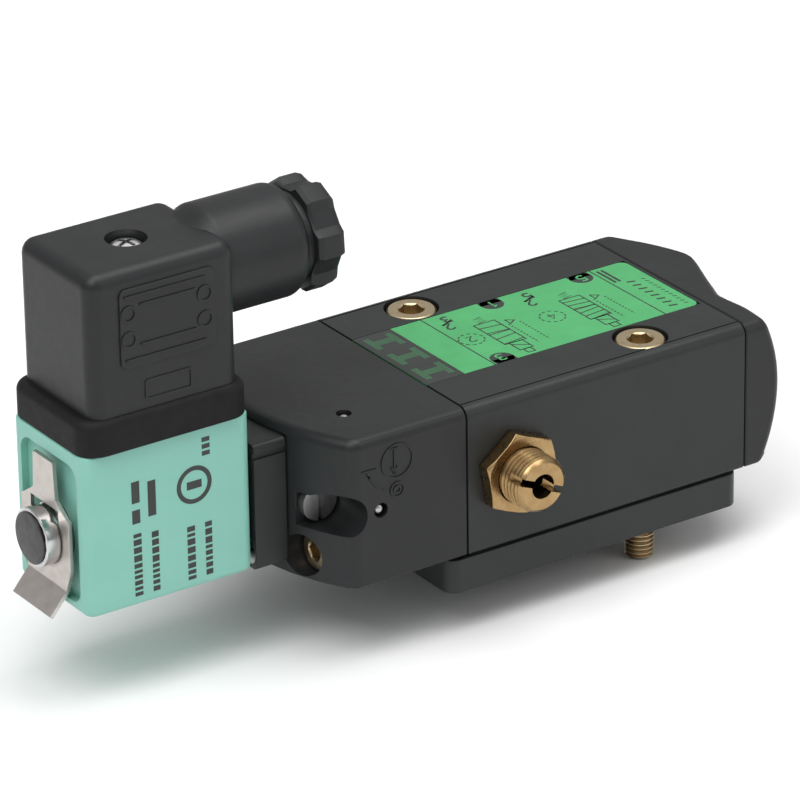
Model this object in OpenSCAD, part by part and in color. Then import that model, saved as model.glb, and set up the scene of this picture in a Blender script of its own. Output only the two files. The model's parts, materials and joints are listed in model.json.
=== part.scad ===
// Solenoid-operated spool valve with a NAMUR mounting face.
// Origin: centre of the mounting face, on its underside.
// +X runs along the spool from the solenoid to the end cap, -Y is the exhaust side, +Z is up.

/* [Valve body] */
// Width of the valve body, head and end cap across Y
body_w = 45; // [44:0.5:48]
// Height of the valve body
body_h = 26.3; // [25.8:0.1:27]
// Solenoid-side end of the valve body
body_x0 = -27.4; // [-28:0.1:-27]
// Cap-side end of the valve body
body_x1 = 29; // [28.6:0.1:29.6]
// Radius of the long top edges
edge_r = 2; // [1:0.1:2.4]
// Height of the spool axis above the middle of the body's bottom face
spool_rise = 13; // [12.8:0.1:13.2]
// Thickness of the gaskets between body, plate, head and cap
gasket_t = 0.4; // [0.3:0.1:0.5]

/* [Mounting face] */
// Thickness of the interface plate
plate_t = 6; // [5.5:0.1:6.5]
// Distance between the two working ports, and between the screws along X
port_pitch = 24; // [24:1:24]
// Distance between the screws along Y
screw_pitch = 32; // [32:1:32]
// How far the mounting screws stand out below the mounting face
screw_reach = 7.3; // [6:0.1:9]

/* [Spool] */
// Radius of the spool bore
bore_r = 5.6; // [5.4:0.1:5.8]
// Distance between neighbouring port chambers
chamber_pitch = 9; // [9:0.1:9.2]
// Travel of the spool
spool_stroke = 4.4; // [4:0.1:4.4]

/* [Pilot head] */
// Distance from the body to the crown of the head's curved end
head_l = 28.6; // [28:0.1:30]
// Radius of the curved end seen from above
head_end_r = 41; // [38:0.5:45]
// Radius of the manual operator's access hole
operator_hole_r = 3.6; // [3.4:0.1:3.8]

/* [Solenoid] */
// Width of the coil across Y
coil_w = 22; // [21.6:0.1:22.4]
// Length of the coil along X
coil_l = 31.3; // [30.5:0.1:31.5]
// Height of the coil
coil_h = 28.2; // [27.6:0.1:28.8]
// Radius of the core tube
tube_r = 5; // [4.9:0.05:5.1]
// Travel of the plunger
plunger_stroke = 0.8; // [0.5:0.1:0.9]

/* [Connector] */
// Length of the connector housing along X
connector_l = 27.5; // [27:0.1:28]
// Height of the connector housing
connector_h = 24.3; // [24:0.1:25]
// Radius of the cable barrel
barrel_r = 9.45; // [9.2:0.05:9.6]
// Length of the cable barrel beyond the housing
barrel_l = 15.6; // [15:0.1:16.4]
// Radius of the hexagonal gland nut at its corners
gland_nut_r = 9.4; // [9:0.1:9.6]

/* [Exhaust reducer] */
// Distance of port 3 from the middle of the body
port3_x = -18; // [-18:0.1:-17.8]
// Width across flats of the locknut
locknut_af = 13; // [12:0.1:14]
// How far the reducer stands out of the body
reducer_out = 8; // [7.5:0.1:9]

/* [Hidden] */
$fn = 64;

// Colours
black_metal = [0.22, 0.22, 0.23];
black_plastic = [0.16, 0.16, 0.17];
rubber = [0.08, 0.08, 0.08];
zinc_yellow = [0.78, 0.70, 0.45];
brass_tone = [0.72, 0.58, 0.32];
steel = [0.72, 0.73, 0.75];
mint = [0.55, 0.80, 0.72];
label_green = [0.30, 0.72, 0.45];
copper = [0.75, 0.42, 0.22];
nylon = [0.85, 0.83, 0.76];

// Clearances: between moving parts, in a running fit, and a cut that has to pass through a face
clear = 0.3;
fit = 0.04;
cut = 1;

// Valve body
half_w = body_w / 2;
body_z0 = plate_t + gasket_t;
body_z1 = body_z0 + body_h;
spool_z = body_z0 + spool_rise;
chamber_r = bore_r + 1.9;
chamber_w = chamber_pitch / 2;
head_joint_x = body_x0 - gasket_t / 2;
body_left = body_x0 + gasket_t / 2;
body_right = body_x1 - gasket_t / 2;
cap_joint_x = body_x1 + gasket_t / 2;
label_half_w = 11;
label_pocket = 0.25;
port_passage_r = 1.7;
working_x = chamber_pitch + 1.5;
working_r = 3;

// Screws, as thread radius, root radius and pitch, with the radii of their holes
m5 = [2.5, 2.05, 0.8];
m5_shank_r = 2.2;
m5_hole_r = 2.75;
m5_head_r = 4.25;
m5_head_h = 5;
m5_counterbore_r = 4.7;
m5_seat_z = body_z1 - 5.2;
m4 = [2, 1.62, 0.7];
m4_hole_r = 2.2;
m4_tapped_r = m4[0] + fit;
m4_head_r = 3.45;
m3_r = 1.5;
m3_hole_r = 1.6;

// Mounting face and its M5 screws
plate_x0 = -31;
plate_x1 = 28;
screw_spots = [[-port_pitch / 2, screw_pitch / 2], [port_pitch / 2, -screw_pitch / 2]];
namur_port_r = 4.5;
namur_seal_r = 8;
namur_seal_depth = 1.5;

// G1/4 and G1/8 ports: radius of the tapped wall, outer radius and depth of the thread
g14_minor_r = 5.72;
g18_minor_r = 4.283;
g18_major_r = 4.86;
g18_pitch = 0.907;
port1_x = 0;
port5_x = 2 * chamber_pitch;
port_depth = 12;

// M4 screws that hold the head and the end cap, as [y, z] seen along the spool
m4_y = 13.4;
m4_dz = 8.9;
head_screw_spots = [[-m4_y, spool_z - m4_dz], [m4_y, spool_z + m4_dz]];
cap_m4_y = 14.5;
cap_m4_dz = 7.6;
cap_screw_spots = [[-cap_m4_y, spool_z + cap_m4_dz], [cap_m4_y, spool_z - cap_m4_dz]];
m4_tip = 18;
head_screw_seat_x = body_x0 - 19.9;
cap_screw_seat_x = body_x1 + 2;
m4_head_h = 4;
m4_counterbore_r = 3.7;

// Spool, with its two middle lands set back from the chambers by land_shift
spool_x0 = -27;
spool_x1 = 26.6;
stem_r = bore_r - 2;
land_r = bore_r - 0.1;
land_shift = 2.1;
land_l = 6;
end_land_l = 5.2;
end_land_x = 20.4;
seal_w = 1.2;
seal_depth = 1;
spool_seal_spots = [-24.6, -13, -9.2, 5, 8.8, 23.4];
spring_pocket_x = 21;
spring_pocket_r = 3.4;
spring_end_x = body_x1 + 5.8;
spring_r = 2.7;
spring_wire_r = 0.4;
cap_pocket_x = spool_x1 + spool_stroke + 0.6;

// End cap: crowns of its ridge and plate, and the ridge's front edge
cap_x1 = 39.8;
cap_plate_x = 35.6;
cap_bulge_r = 32;
cap_side_r = 2.4;
ridge_y0 = -8.7;

// Pilot head
head_x0 = body_x0 - head_l;
head_corner_r = 3;
piston_r = 8;
piston_chamber_l = 11.4;
piston_x = -38.2;
piston_t = 5;
operator_x = -50.4;
operator_z = spool_z - 0.1;
operator_floor_y = -12.2;
operator_face_y = -14;
operator_stem_r = 2.2;
operator_stem_end = -1;
operator_gap_h = 2.4;
operator_groove_y0 = -8;
operator_groove_y1 = -6.6;
operator_groove_r = operator_stem_r - 0.7;
ball_hole_x = -44.2;
ball_hole_y = -12;
ball_r = 1.2;
passage_r = 0.9;
supply_y = 11.6;
supply_z = spool_z + 3.5;
supply_turn_x = -48;
supply_exit_y = 3;
cross_y = -5.5;
ball_seat = 3;
landing_gap = 0.1;

// Solenoid
tube_z = 20.5;
coil_x1 = -61.2;
coil_x0 = coil_x1 - coil_l;
coil_z0 = 9;
coil_z1 = coil_z0 + coil_h;
pilot_x0 = coil_x1 + clear;
pilot_x1 = -54.5 - gasket_t;
pilot_z0 = 8.7;
pilot_z1 = 31;
pilot_screw_spots = [[-8, 11.6], [8, 28.1]];
pilot_screw_tip = -46.5;
pilot_counterbore = 2.4;
core_pocket_r = 4.6;
nozzle_r = 2;
nozzle_seat = 1.2;
flange_t = 1.3;
flange_r = 7;
nozzle_x = -59;
core_face_x = -75;
clip_x = coil_x0 - 1;
clip_t = 0.7;
tube_end_x = coil_x0 + 0.4;
coil_wall = 1.6;
core_end_x = -96.6;
winding_r = 9;
yoke_t = 1.5;

// Connector
gasket_z1 = coil_z1 + 6;
connector_x0 = coil_x0 + 2.1;
connector_x1 = connector_x0 + connector_l;
connector_z1 = gasket_z1 + connector_h;
connector_mid = (coil_x0 + coil_x1) / 2 + 0.2;
connector_half_w = 11;
connector_wall = 1.8;
barrel_z = connector_z1 - 7.3;
barrel_x1 = connector_x1 + barrel_l;
gland_bore_r = 7;
cable_r = 4.6;
gland_floor_x = connector_x1 + 4;
gland_seal_l = 4.4;
gland_washer_t = 0.8;
gland_neck_x = gland_floor_x + gland_seal_l + gland_washer_t + clear;
gland_flats_x = barrel_x1 + 1.1;
gland_flats_l = 5.2;
insert_z1 = gasket_z1 + 10.5;
socket_z1 = insert_z1 - 4.4;
blade_out = 5;
blade_w = 6.3;
blade_t = 0.8;
blade_offset = 5.5;
earth_y = -6.4;

// Angle from +Y to a corner of the gland nut
gland_turn = 56;

// Exhaust reducer and its locknut
reducer_end_y = -half_w - reducer_out;
reducer_inner_y = -half_w + 9;
locknut_t = 2.5;
slot_depth = 3;
slot_w = 1.2;
slot_angle = -23;
locknut_turn = 38.5;
exhaust_r = 2.15;

// ---- Helpers ----

// Extrude a [y, z] outline along X
module along_x(x0, x1) {
    translate([x0, 0, 0]) rotate([90, 0, 90]) linear_extrude(x1 - x0) children();
}

// Extrude an [x, z] outline along Y
module along_y(y0, y1) {
    translate([0, y1, 0]) rotate([90, 0, 0]) linear_extrude(y1 - y0) children();
}

// Extrude an [x, y] outline along Z
module along_z(z0, z1) {
    translate([0, 0, z0]) linear_extrude(z1 - z0) children();
}

module cyl_x(x0, x1, y, z, r) {
    translate([x0, y, z]) rotate([0, 90, 0]) cylinder(h = x1 - x0, r = r);
}

module cyl_y(y0, y1, x, z, r) {
    translate([x, y0, z]) rotate([-90, 0, 0]) cylinder(h = y1 - y0, r = r);
}

module cyl_z(z0, z1, x, y, r) {
    translate([x, y, z0]) cylinder(h = z1 - z0, r = r);
}

// Tube along X
module tube_x(x0, x1, y, z, outer, inner) {
    difference() {
        cyl_x(x0, x1, y, z, outer);
        cyl_x(x0 - cut, x1 + cut, y, z, inner);
    }
}

module box(low, high) {
    translate(low) cube(high - low);
}

// Rectangle from low to high with its own radius at each end of its second axis
module round_rect(low, high, r_low, r_high) {
    difference() {
        translate(low) square(high - low);
        corner_cut(low, [1, 1], r_low);
        corner_cut([high[0], low[1]], [-1, 1], r_low);
        corner_cut(high, [-1, -1], r_high);
        corner_cut([low[0], high[1]], [1, -1], r_high);
    }
}

// What a corner at point p loses to a radius; side points into the rectangle
module corner_cut(p, side, r) {
    if (r > 0) {
        translate(p) scale([side[0], side[1]]) difference() {
            translate([-cut, -cut]) square(r + cut);
            translate([r, r]) circle(r);
        }
    }
}

// Ring along X with a rectangular section
module seal_x(x, y, z, width, outer, inner) {
    tube_x(x - width / 2, x + width / 2, y, z, outer, inner);
}

// Points of a thread's outline from z0 to z1, as [radius, z]
function thread_outline(z0, z1, crest, root, pitch) = [
    for (i = [0 : floor((z1 - z0) / pitch) - 1])
        let (z = z0 + i * pitch)
        each [[crest, z + 0.1 * pitch], [root, z + 0.5 * pitch], [crest, z + 0.9 * pitch]]
];

// Threaded rod along Z with a chamfered low end
module threaded_rod(z0, z1, crest, root, pitch) {
    rotate_extrude() polygon(concat(
        [[0, z0], [root, z0]],
        thread_outline(z0 + 0.4 * pitch, z1, crest, root, pitch),
        [[crest, z1], [0, z1]]
    ));
}

// Socket head cap screw: its seat is at the origin and it points to -Z.
// thread is [radius, root radius, pitch], and threaded is the length of the thread
module cap_screw(thread, shank_r, head_r, head_h, socket_af, length, threaded) {
    socket_depth = head_h * 0.55;
    difference() {
        union() {
            rotate_extrude() polygon([
                [0, 0], [head_r, 0], [head_r, head_h - 0.35], [head_r - 0.35, head_h], [0, head_h]
            ]);
            translate([0, 0, -(length - threaded)]) cylinder(h = length - threaded, r = shank_r);
            translate([0, 0, -length]) threaded_rod(0, threaded, thread[0], thread[1], thread[2]);
        }
        translate([0, 0, head_h - socket_depth])
            rotate(30) cylinder(h = socket_depth + cut, r = socket_af / 2 / cos(30), $fn = 6);
        translate([0, 0, head_h - 0.3]) rotate_extrude()
            polygon([[0, 0], [socket_af / 2, 0], [socket_af / 2 + 0.4, 0.4], [0, 0.4]]);
    }
}

// Recessed pan head screw: its seat is at the origin and it points to -Z
module pan_screw(thread_r, head_r, head_h, length) {
    recess_w = head_r * 0.28;
    difference() {
        union() {
            cylinder(h = head_h, r = head_r);
            translate([0, 0, -length]) cylinder(h = length, r = thread_r);
        }
        for (turn = [0, 90]) {
            rotate(turn) translate([-head_r * 0.6, -recess_w / 2, head_h * 0.4])
                cube([head_r * 1.2, recess_w, head_h]);
        }
    }
}

// Coil spring along X from x0 to x1
module coil_spring(x0, x1, y, z, coil_r, wire_r, turns) {
    sides = 6;
    steps = 14;
    count = turns * steps;
    run = x1 - x0 - 2 * wire_r;
    points = [
        for (i = [0 : count], j = [0 : sides - 1])
            let (
                around = 360 * i / steps,
                over = 360 * j / sides,
                reach = coil_r + wire_r * cos(over)
            )
            [
                x0 + wire_r + run * i / count + wire_r * sin(over),
                y + reach * cos(around),
                z + reach * sin(around)
            ]
    ];
    skin = [
        for (i = [0 : count - 1], j = [0 : sides - 1])
            let (k = (j + 1) % sides)
            [i * sides + j, i * sides + k, (i + 1) * sides + k, (i + 1) * sides + j]
    ];
    ends = [
        [for (j = [sides - 1 : -1 : 0]) j],
        [for (j = [0 : sides - 1]) count * sides + j]
    ];
    polyhedron(points, concat(skin, ends));
}

// ---- Valve body and mounting face ----

// Outline of the body, head and end cap seen along the spool
module body_section(inset) {
    round_rect([-half_w + inset, body_z0 + inset], [half_w - inset, body_z1 - inset], 0.6, edge_r);
}

module spool_bore() {
    cyl_x(body_left - cut, body_right + cut, 0, spool_z, bore_r);
    for (i = [-2 : 2]) {
        cyl_x(i * chamber_pitch - chamber_w / 2, i * chamber_pitch + chamber_w / 2, 0, spool_z, chamber_r);
    }
}

module label_pocket_shape(z0, z1, inset) {
    along_z(z0, z1)
        round_rect([body_left, -label_half_w + inset], [body_x1 - 0.8 - inset, label_half_w - inset], 0, 0);
}

module valve_body() {
    color(black_metal) difference() {
        along_x(body_left, body_right) body_section(0);
        spool_bore();
        // port 3 in front, ports 1 and 5 behind
        cyl_y(-half_w - cut, -half_w + port_depth, port3_x, spool_z, g18_major_r + fit);
        cyl_y(-half_w + port_depth - cut, -bore_r + cut, port3_x, spool_z, port_passage_r);
        cyl_y(half_w - port_depth, half_w + cut, port1_x, spool_z, g14_minor_r);
        cyl_y(bore_r - cut, half_w - port_depth + cut, port1_x, spool_z, port_passage_r);
        cyl_y(half_w - port_depth, half_w + cut, port5_x, spool_z, g18_minor_r);
        cyl_y(bore_r - cut, half_w - port_depth + cut, port5_x, spool_z, port_passage_r);
        // working passages down to the mounting face
        for (side = [-1, 1]) {
            cyl_z(body_z0 - cut, spool_z - bore_r - 0.6, side * working_x, 0, working_r);
        }
        // pilot supply from port 1 to the head
        cyl_x(body_left - cut, port1_x, supply_y, supply_z, passage_r);
        screw_holes(body_z0 - cut, body_z1 + cut, m5_hole_r);
        screw_holes(m5_seat_z, body_z1 + cut, m5_counterbore_r);
        for (spot = head_screw_spots) {
            cyl_x(body_left - cut, -m4_tip, spot[0], spot[1], m4_tapped_r);
        }
        for (spot = cap_screw_spots) {
            cyl_x(m4_tip, body_right + cut, spot[0], spot[1], m4_tapped_r);
        }
        label_pocket_shape(body_z1 - label_pocket, body_z1 + cut, 0);
    }
}

module label_plate() {
    color(label_green) difference() {
        label_pocket_shape(body_z1 - label_pocket, body_z1 - 0.03, 0.1);
        screw_holes(body_z0, body_z1 + cut, m5_counterbore_r + clear);
    }
}

module plate_outline(inset) {
    round_rect([plate_x0 + inset, -half_w + inset], [plate_x1 - inset, half_w - inset], 2.3, 2.3);
}

module working_ports(z0, z1) {
    for (side = [-1, 1]) {
        cyl_z(z0, z1, side * port_pitch / 2, 0, namur_port_r);
    }
}

module screw_holes(z0, z1, r) {
    for (spot = screw_spots) {
        cyl_z(z0, z1, spot[0], spot[1], r);
    }
}

module plate_gasket() {
    color(rubber) difference() {
        intersection() {
            along_z(plate_t, body_z0) plate_outline(0.6);
            box([body_left + 0.6, -half_w, 0], [body_right, half_w, body_z0]);
        }
        working_ports(plate_t - cut, body_z0 + cut);
        screw_holes(plate_t - cut, body_z0 + cut, m5_hole_r);
    }
}

module interface_plate() {
    color(black_metal) difference() {
        along_z(0, plate_t) plate_outline(0);
        working_ports(-cut, plate_t + cut);
        screw_holes(-cut, plate_t + cut, m5_hole_r);
        for (side = [-1, 1]) {
            cyl_z(-cut, namur_seal_depth, side * port_pitch / 2, 0, namur_seal_r + 1);
        }
    }
}

module namur_seals() {
    color(rubber) for (side = [-1, 1]) {
        translate([side * port_pitch / 2, 0, 0]) rotate_extrude() intersection() {
            translate([namur_seal_r - 0.05, namur_seal_depth / 2]) circle(1);
            translate([0, 0]) square([namur_seal_r + 1, namur_seal_depth]);
        }
    }
}

module mounting_screws() {
    // the thread starts at the mounting face, and the shank above it is waisted
    color(zinc_yellow) for (spot = screw_spots) {
        translate([spot[0], spot[1], m5_seat_z])
            cap_screw(m5, m5_shank_r, m5_head_r, m5_head_h, 4, m5_seat_z + screw_reach, screw_reach);
    }
}

// ---- Pilot head ----

// Plan of the head: an arc end, rounded where it meets the two sides
module head_plan() {
    centre_x = head_x0 + head_end_r;
    corner_y = half_w - head_corner_r;
    reach = head_end_r - head_corner_r;
    corner_x = centre_x - sqrt(reach * reach - corner_y * corner_y);
    turn = atan2(corner_y, corner_x - centre_x);
    far = 3 * head_corner_r;
    difference() {
        intersection() {
            translate([head_x0 - cut, -half_w]) square([head_joint_x - head_x0 + cut, body_w]);
            translate([centre_x, 0]) circle(head_end_r, $fn = 128);
        }
        for (side = [-1, 1]) {
            translate([corner_x, side * corner_y]) scale([1, side]) difference() {
                polygon([[0, 0], [far * cos(turn), far * sin(turn)], [0, far]]);
                circle(head_corner_r);
            }
        }
    }
}

module pilot_head() {
    color(black_plastic) difference() {
        intersection() {
            along_x(head_x0 - cut, head_joint_x) body_section(0);
            along_z(body_z0, body_z1) head_plan();
        }
        // landing for the pilot body
        box(
            [head_x0 - cut, -coil_w / 2 - landing_gap, pilot_z0 - landing_gap],
            [pilot_x1 + gasket_t, coil_w / 2 + landing_gap, pilot_z1 + landing_gap]
        );
        // piston chamber
        cyl_x(head_joint_x - piston_chamber_l, head_joint_x + cut, 0, spool_z, piston_r);
        // pilot passages
        cyl_x(pilot_x1, head_joint_x - piston_chamber_l + cut, 0, tube_z, passage_r);
        cyl_x(supply_turn_x, head_joint_x + cut, supply_y, supply_z, passage_r);
        cyl_y(supply_exit_y, supply_y, supply_turn_x, supply_z, passage_r);
        cyl_x(pilot_x1, supply_turn_x, supply_exit_y, supply_z, passage_r);
        // cross drillings closed by the sealing balls
        cyl_y(-half_w - cut, cross_y + passage_r, ball_hole_x, spool_z, passage_r);
        cyl_x(ball_hole_x, head_joint_x - piston_chamber_l + cut, cross_y, spool_z, passage_r);
        cyl_y(-half_w - cut, -half_w + ball_seat, ball_hole_x, spool_z, ball_r + 0.1);
        cyl_z(spool_z, body_z1 + cut, ball_hole_x, ball_hole_y, passage_r);
        cyl_z(body_z1 - ball_seat, body_z1 + cut, ball_hole_x, ball_hole_y, ball_r + 0.1);
        // manual operator: access hole, its opening through the curved end, and the stem bore
        cyl_y(-half_w - cut, operator_floor_y, operator_x, operator_z, operator_hole_r);
        box(
            [head_x0 - cut, -half_w - cut, operator_z - operator_hole_r],
            [operator_x, operator_floor_y, operator_z + operator_gap_h]
        );
        cyl_y(operator_floor_y - cut, operator_stem_end + 0.5, operator_x, operator_z, operator_stem_r + fit);
        for (spot = head_screw_spots) {
            cyl_x(head_x0 - cut, head_joint_x + cut, spot[0], spot[1], m4_hole_r);
            cyl_x(head_x0 - cut, head_screw_seat_x, spot[0], spot[1], m4_counterbore_r);
        }
        for (spot = pilot_screw_spots) {
            cyl_x(pilot_x1, pilot_screw_tip + clear, spot[0], spot[1], m3_r + fit / 2);
        }
    }
}

module head_gasket() {
    color(rubber) difference() {
        along_x(head_joint_x, body_left) body_section(0.4);
        cyl_x(head_joint_x - cut, body_left + cut, 0, spool_z, bore_r);
        cyl_x(head_joint_x - cut, body_left + cut, supply_y, supply_z, passage_r);
        for (spot = head_screw_spots) {
            cyl_x(head_joint_x - cut, body_left + cut, spot[0], spot[1], m4_hole_r);
        }
    }
}

// Two M4 screws whose seats are at x, pointing along X in the given direction
module m4_pair(x, direction, spots) {
    length = abs(x) - m4_tip;
    color(zinc_yellow) for (spot = spots) {
        translate([x, spot[0], spot[1]]) rotate([0, -90 * direction, 0])
            cap_screw(m4, m4[0], m4_head_r, m4_head_h, 3, length, 8);
    }
}

module head_screws() {
    m4_pair(head_screw_seat_x, 1, head_screw_spots);
}

module sealing_balls() {
    sunk = 0.35;
    color(steel) {
        translate([ball_hole_x, -half_w + ball_r + sunk, spool_z]) sphere(ball_r);
        translate([ball_hole_x, ball_hole_y, body_z1 - ball_r - sunk]) sphere(ball_r);
    }
}

module manual_operator() {
    color(steel) difference() {
        union() {
            cyl_y(operator_face_y, operator_floor_y - 0.2, operator_x, operator_z, operator_hole_r - 0.4);
            cyl_y(operator_floor_y - cut, operator_stem_end, operator_x, operator_z, operator_stem_r);
        }
        // screwdriver slot
        box(
            [operator_x - 0.4, operator_face_y - cut, operator_z - operator_hole_r],
            [operator_x + 0.4, operator_face_y + 0.9, operator_z + operator_hole_r]
        );
        // groove of the seal
        difference() {
            cyl_y(operator_groove_y0, operator_groove_y1, operator_x, operator_z, operator_stem_r + cut);
            cyl_y(
                operator_groove_y0 - cut, operator_groove_y1 + cut,
                operator_x, operator_z, operator_groove_r
            );
        }
        // cross hole that opens the pilot passage
        cyl_x(operator_x - 4, operator_x + 4, -2.4, operator_z, 0.6);
    }
}

module operator_seal() {
    color(rubber) difference() {
        cyl_y(operator_groove_y0, operator_groove_y1, operator_x, operator_z, operator_stem_r + fit / 2);
        cyl_y(operator_groove_y0 - cut, operator_groove_y1 + cut, operator_x, operator_z, operator_groove_r);
    }
}

// ---- End cap ----

// Plan of the cap's raised ridge, which runs from the back over the top
module cap_ridge_plan() {
    polygon([
        [cap_joint_x, half_w - 0.4], [cap_x1 - 6.5, half_w - 1.9], [cap_x1 - 2.8, 14.5], [cap_x1 - 0.4, 9.2],
        [cap_x1, 6.6], [cap_x1 - 0.8, 4.7], [cap_x1 - 3.6, -1.4], [cap_x1 - 6.6, ridge_y0],
        [cap_joint_x, ridge_y0]
    ]);
}

// One half of the cap's outside; the other half is the same turned upside down
module cap_half() {
    along_z(spool_z - 6.4, body_z1) cap_ridge_plan();
}

// Plate of the cap, crowned seen from the front and rounded towards its two sides
module cap_plate() {
    intersection() {
        along_y(-half_w, half_w) intersection() {
            translate([cap_plate_x - cap_bulge_r, spool_z + 1]) circle(cap_bulge_r, $fn = 128);
            translate([cap_joint_x, body_z0]) square([cap_plate_x - cap_joint_x + cut, body_h]);
        }
        along_z(body_z0, body_z1)
            round_rect(
                [cap_joint_x - cap_side_r, -half_w], [cap_plate_x + 0.01, half_w],
                cap_side_r, cap_side_r
            );
        box([cap_joint_x, -half_w, body_z0], [cap_plate_x, half_w, body_z1]);
    }
}

module end_cap() {
    color(black_plastic) difference() {
        intersection() {
            union() {
                cap_plate();
                cap_half();
                translate([0, 0, body_z0 + body_z1]) rotate([180, 0, 0]) cap_half();
            }
            along_x(cap_joint_x, cap_x1 + cut) body_section(0);
        }
        // room for the spool's end and the return spring
        cyl_x(cap_joint_x - cut, cap_pocket_x, 0, spool_z, bore_r + 0.2);
        cyl_x(cap_joint_x - cut, spring_end_x, 0, spool_z, spring_pocket_r + 0.2);
        for (spot = cap_screw_spots) {
            cyl_x(cap_joint_x - cut, cap_x1 + cut, spot[0], spot[1], m4_hole_r);
            cyl_x(cap_screw_seat_x, cap_x1 + cut, spot[0], spot[1], m4_counterbore_r);
        }
    }
}

module cap_gasket() {
    color(rubber) difference() {
        along_x(body_right, cap_joint_x) body_section(0.4);
        cyl_x(body_right - cut, cap_joint_x + cut, 0, spool_z, bore_r);
        for (spot = cap_screw_spots) {
            cyl_x(body_right - cut, cap_joint_x + cut, spot[0], spot[1], m4_hole_r);
        }
    }
}

module end_cap_screws() {
    m4_pair(cap_screw_seat_x, -1, cap_screw_spots);
}

// ---- Spool ----

module spool() {
    color(steel) difference() {
        union() {
            cyl_x(spool_x0, spool_x1, 0, spool_z, stem_r);
            cyl_x(spool_x0, spool_x0 + end_land_l, 0, spool_z, land_r);
            for (side = [-1, 1]) {
                centre = side * chamber_pitch - land_shift;
                cyl_x(centre - land_l / 2, centre + land_l / 2, 0, spool_z, land_r);
            }
            cyl_x(end_land_x, spool_x1, 0, spool_z, land_r);
        }
        for (x = spool_seal_spots) {
            seal_x(x, 0, spool_z, seal_w, bore_r + cut, land_r - seal_depth);
        }
        cyl_x(spring_pocket_x, spool_x1 + cut, 0, spool_z, spring_pocket_r);
    }
}

module spool_seals() {
    color(rubber) for (x = spool_seal_spots) {
        seal_x(x, 0, spool_z, seal_w, bore_r - fit, land_r - seal_depth);
    }
}

module pilot_piston() {
    color(black_plastic) difference() {
        union() {
            cyl_x(piston_x, piston_x + piston_t, 0, spool_z, piston_r - 0.08);
            cyl_x(piston_x, spool_x0, 0, spool_z, 4);
        }
        seal_x(piston_x + piston_t / 2, 0, spool_z, 1.8, piston_r + cut, piston_r - 1.5);
    }
}

module piston_seal() {
    color(rubber) seal_x(piston_x + piston_t / 2, 0, spool_z, 1.8, piston_r - fit, piston_r - 1.5);
}

module return_spring() {
    color(steel) coil_spring(spring_pocket_x, spring_end_x, 0, spool_z, spring_r, spring_wire_r, 8);
}

// ---- Solenoid ----

module pilot_body() {
    color(black_plastic) difference() {
        along_x(pilot_x0, pilot_x1) round_rect([-coil_w / 2, pilot_z0], [coil_w / 2, pilot_z1], 0.8, 0.8);
        // shallow groove under the top lip
        for (side = [-1, 1]) {
            along_x(pilot_x0 - cut, pilot_x1 + cut)
                translate([side * coil_w / 2 - 0.4, pilot_z1 - 2.6]) square([0.8, 1]);
        }
        cyl_x(pilot_x0 - cut, pilot_x0 + flange_t, 0, tube_z, flange_r);
        cyl_x(pilot_x0, nozzle_x + nozzle_seat, 0, tube_z, core_pocket_r);
        cyl_x(nozzle_x, pilot_x1 + cut, 0, tube_z, nozzle_r);
        cyl_x(nozzle_x, pilot_x1 + cut, supply_exit_y, supply_z, passage_r - 0.2);
        for (spot = pilot_screw_spots) {
            cyl_x(pilot_x0 - cut, pilot_x1 + cut, spot[0], spot[1], m3_hole_r);
            cyl_x(pilot_x0 - cut, pilot_x0 + pilot_counterbore, spot[0], spot[1], 2.8);
        }
    }
}

module pilot_gasket() {
    x1 = pilot_x1 + gasket_t;
    color(rubber) difference() {
        along_x(pilot_x1, x1)
            round_rect([-coil_w / 2 + 0.4, pilot_z0 + 0.4], [coil_w / 2 - 0.4, pilot_z1 - 0.4], 0.8, 0.8);
        cyl_x(pilot_x1 - cut, x1 + cut, 0, tube_z, passage_r);
        cyl_x(pilot_x1 - cut, x1 + cut, supply_exit_y, supply_z, passage_r);
        for (spot = pilot_screw_spots) {
            cyl_x(pilot_x1 - cut, x1 + cut, spot[0], spot[1], m3_hole_r);
        }
    }
}

module pilot_screws() {
    seat_x = pilot_x0 + pilot_counterbore;
    color(steel) for (spot = pilot_screw_spots) {
        translate([seat_x, spot[0], spot[1]]) rotate([0, -90, 0])
            pan_screw(m3_r, 2.7, 2, pilot_screw_tip - seat_x);
    }
}

module pilot_nozzle() {
    color(brass_tone) difference() {
        union() {
            cyl_x(nozzle_x + nozzle_seat, pilot_x1, 0, tube_z, nozzle_r - fit / 2);
            cyl_x(nozzle_x, nozzle_x + nozzle_seat + 0.1, 0, tube_z, 1.2);
        }
        cyl_x(nozzle_x - cut, pilot_x1 + cut, 0, tube_z, 0.6);
    }
}

module core_tube() {
    color(steel) difference() {
        union() {
            cyl_x(pilot_x0, pilot_x0 + flange_t, 0, tube_z, flange_r);
            cyl_x(tube_end_x, pilot_x0 + flange_t, 0, tube_z, tube_r);
        }
        cyl_x(tube_end_x - cut, pilot_x0 + flange_t + cut, 0, tube_z, tube_r - 0.5);
    }
}

module fixed_core() {
    // slightly domed end with a rounded rim, and a groove that takes the clip
    dome_r = 22;
    color(steel) difference() {
        union() {
            cyl_x(tube_end_x, core_face_x, 0, tube_z, tube_r - 0.5);
            intersection() {
                cyl_x(core_end_x, tube_end_x, 0, tube_z, tube_r);
                translate([core_end_x + dome_r, 0, tube_z]) sphere(dome_r, $fn = 128);
            }
        }
        seal_x(clip_x + clip_t / 2, 0, tube_z, clip_t + 0.1, tube_r + cut, tube_r - 0.8);
        cyl_x(core_face_x - 2, core_face_x + cut, 0, tube_z, 1.9);
    }
}

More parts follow.
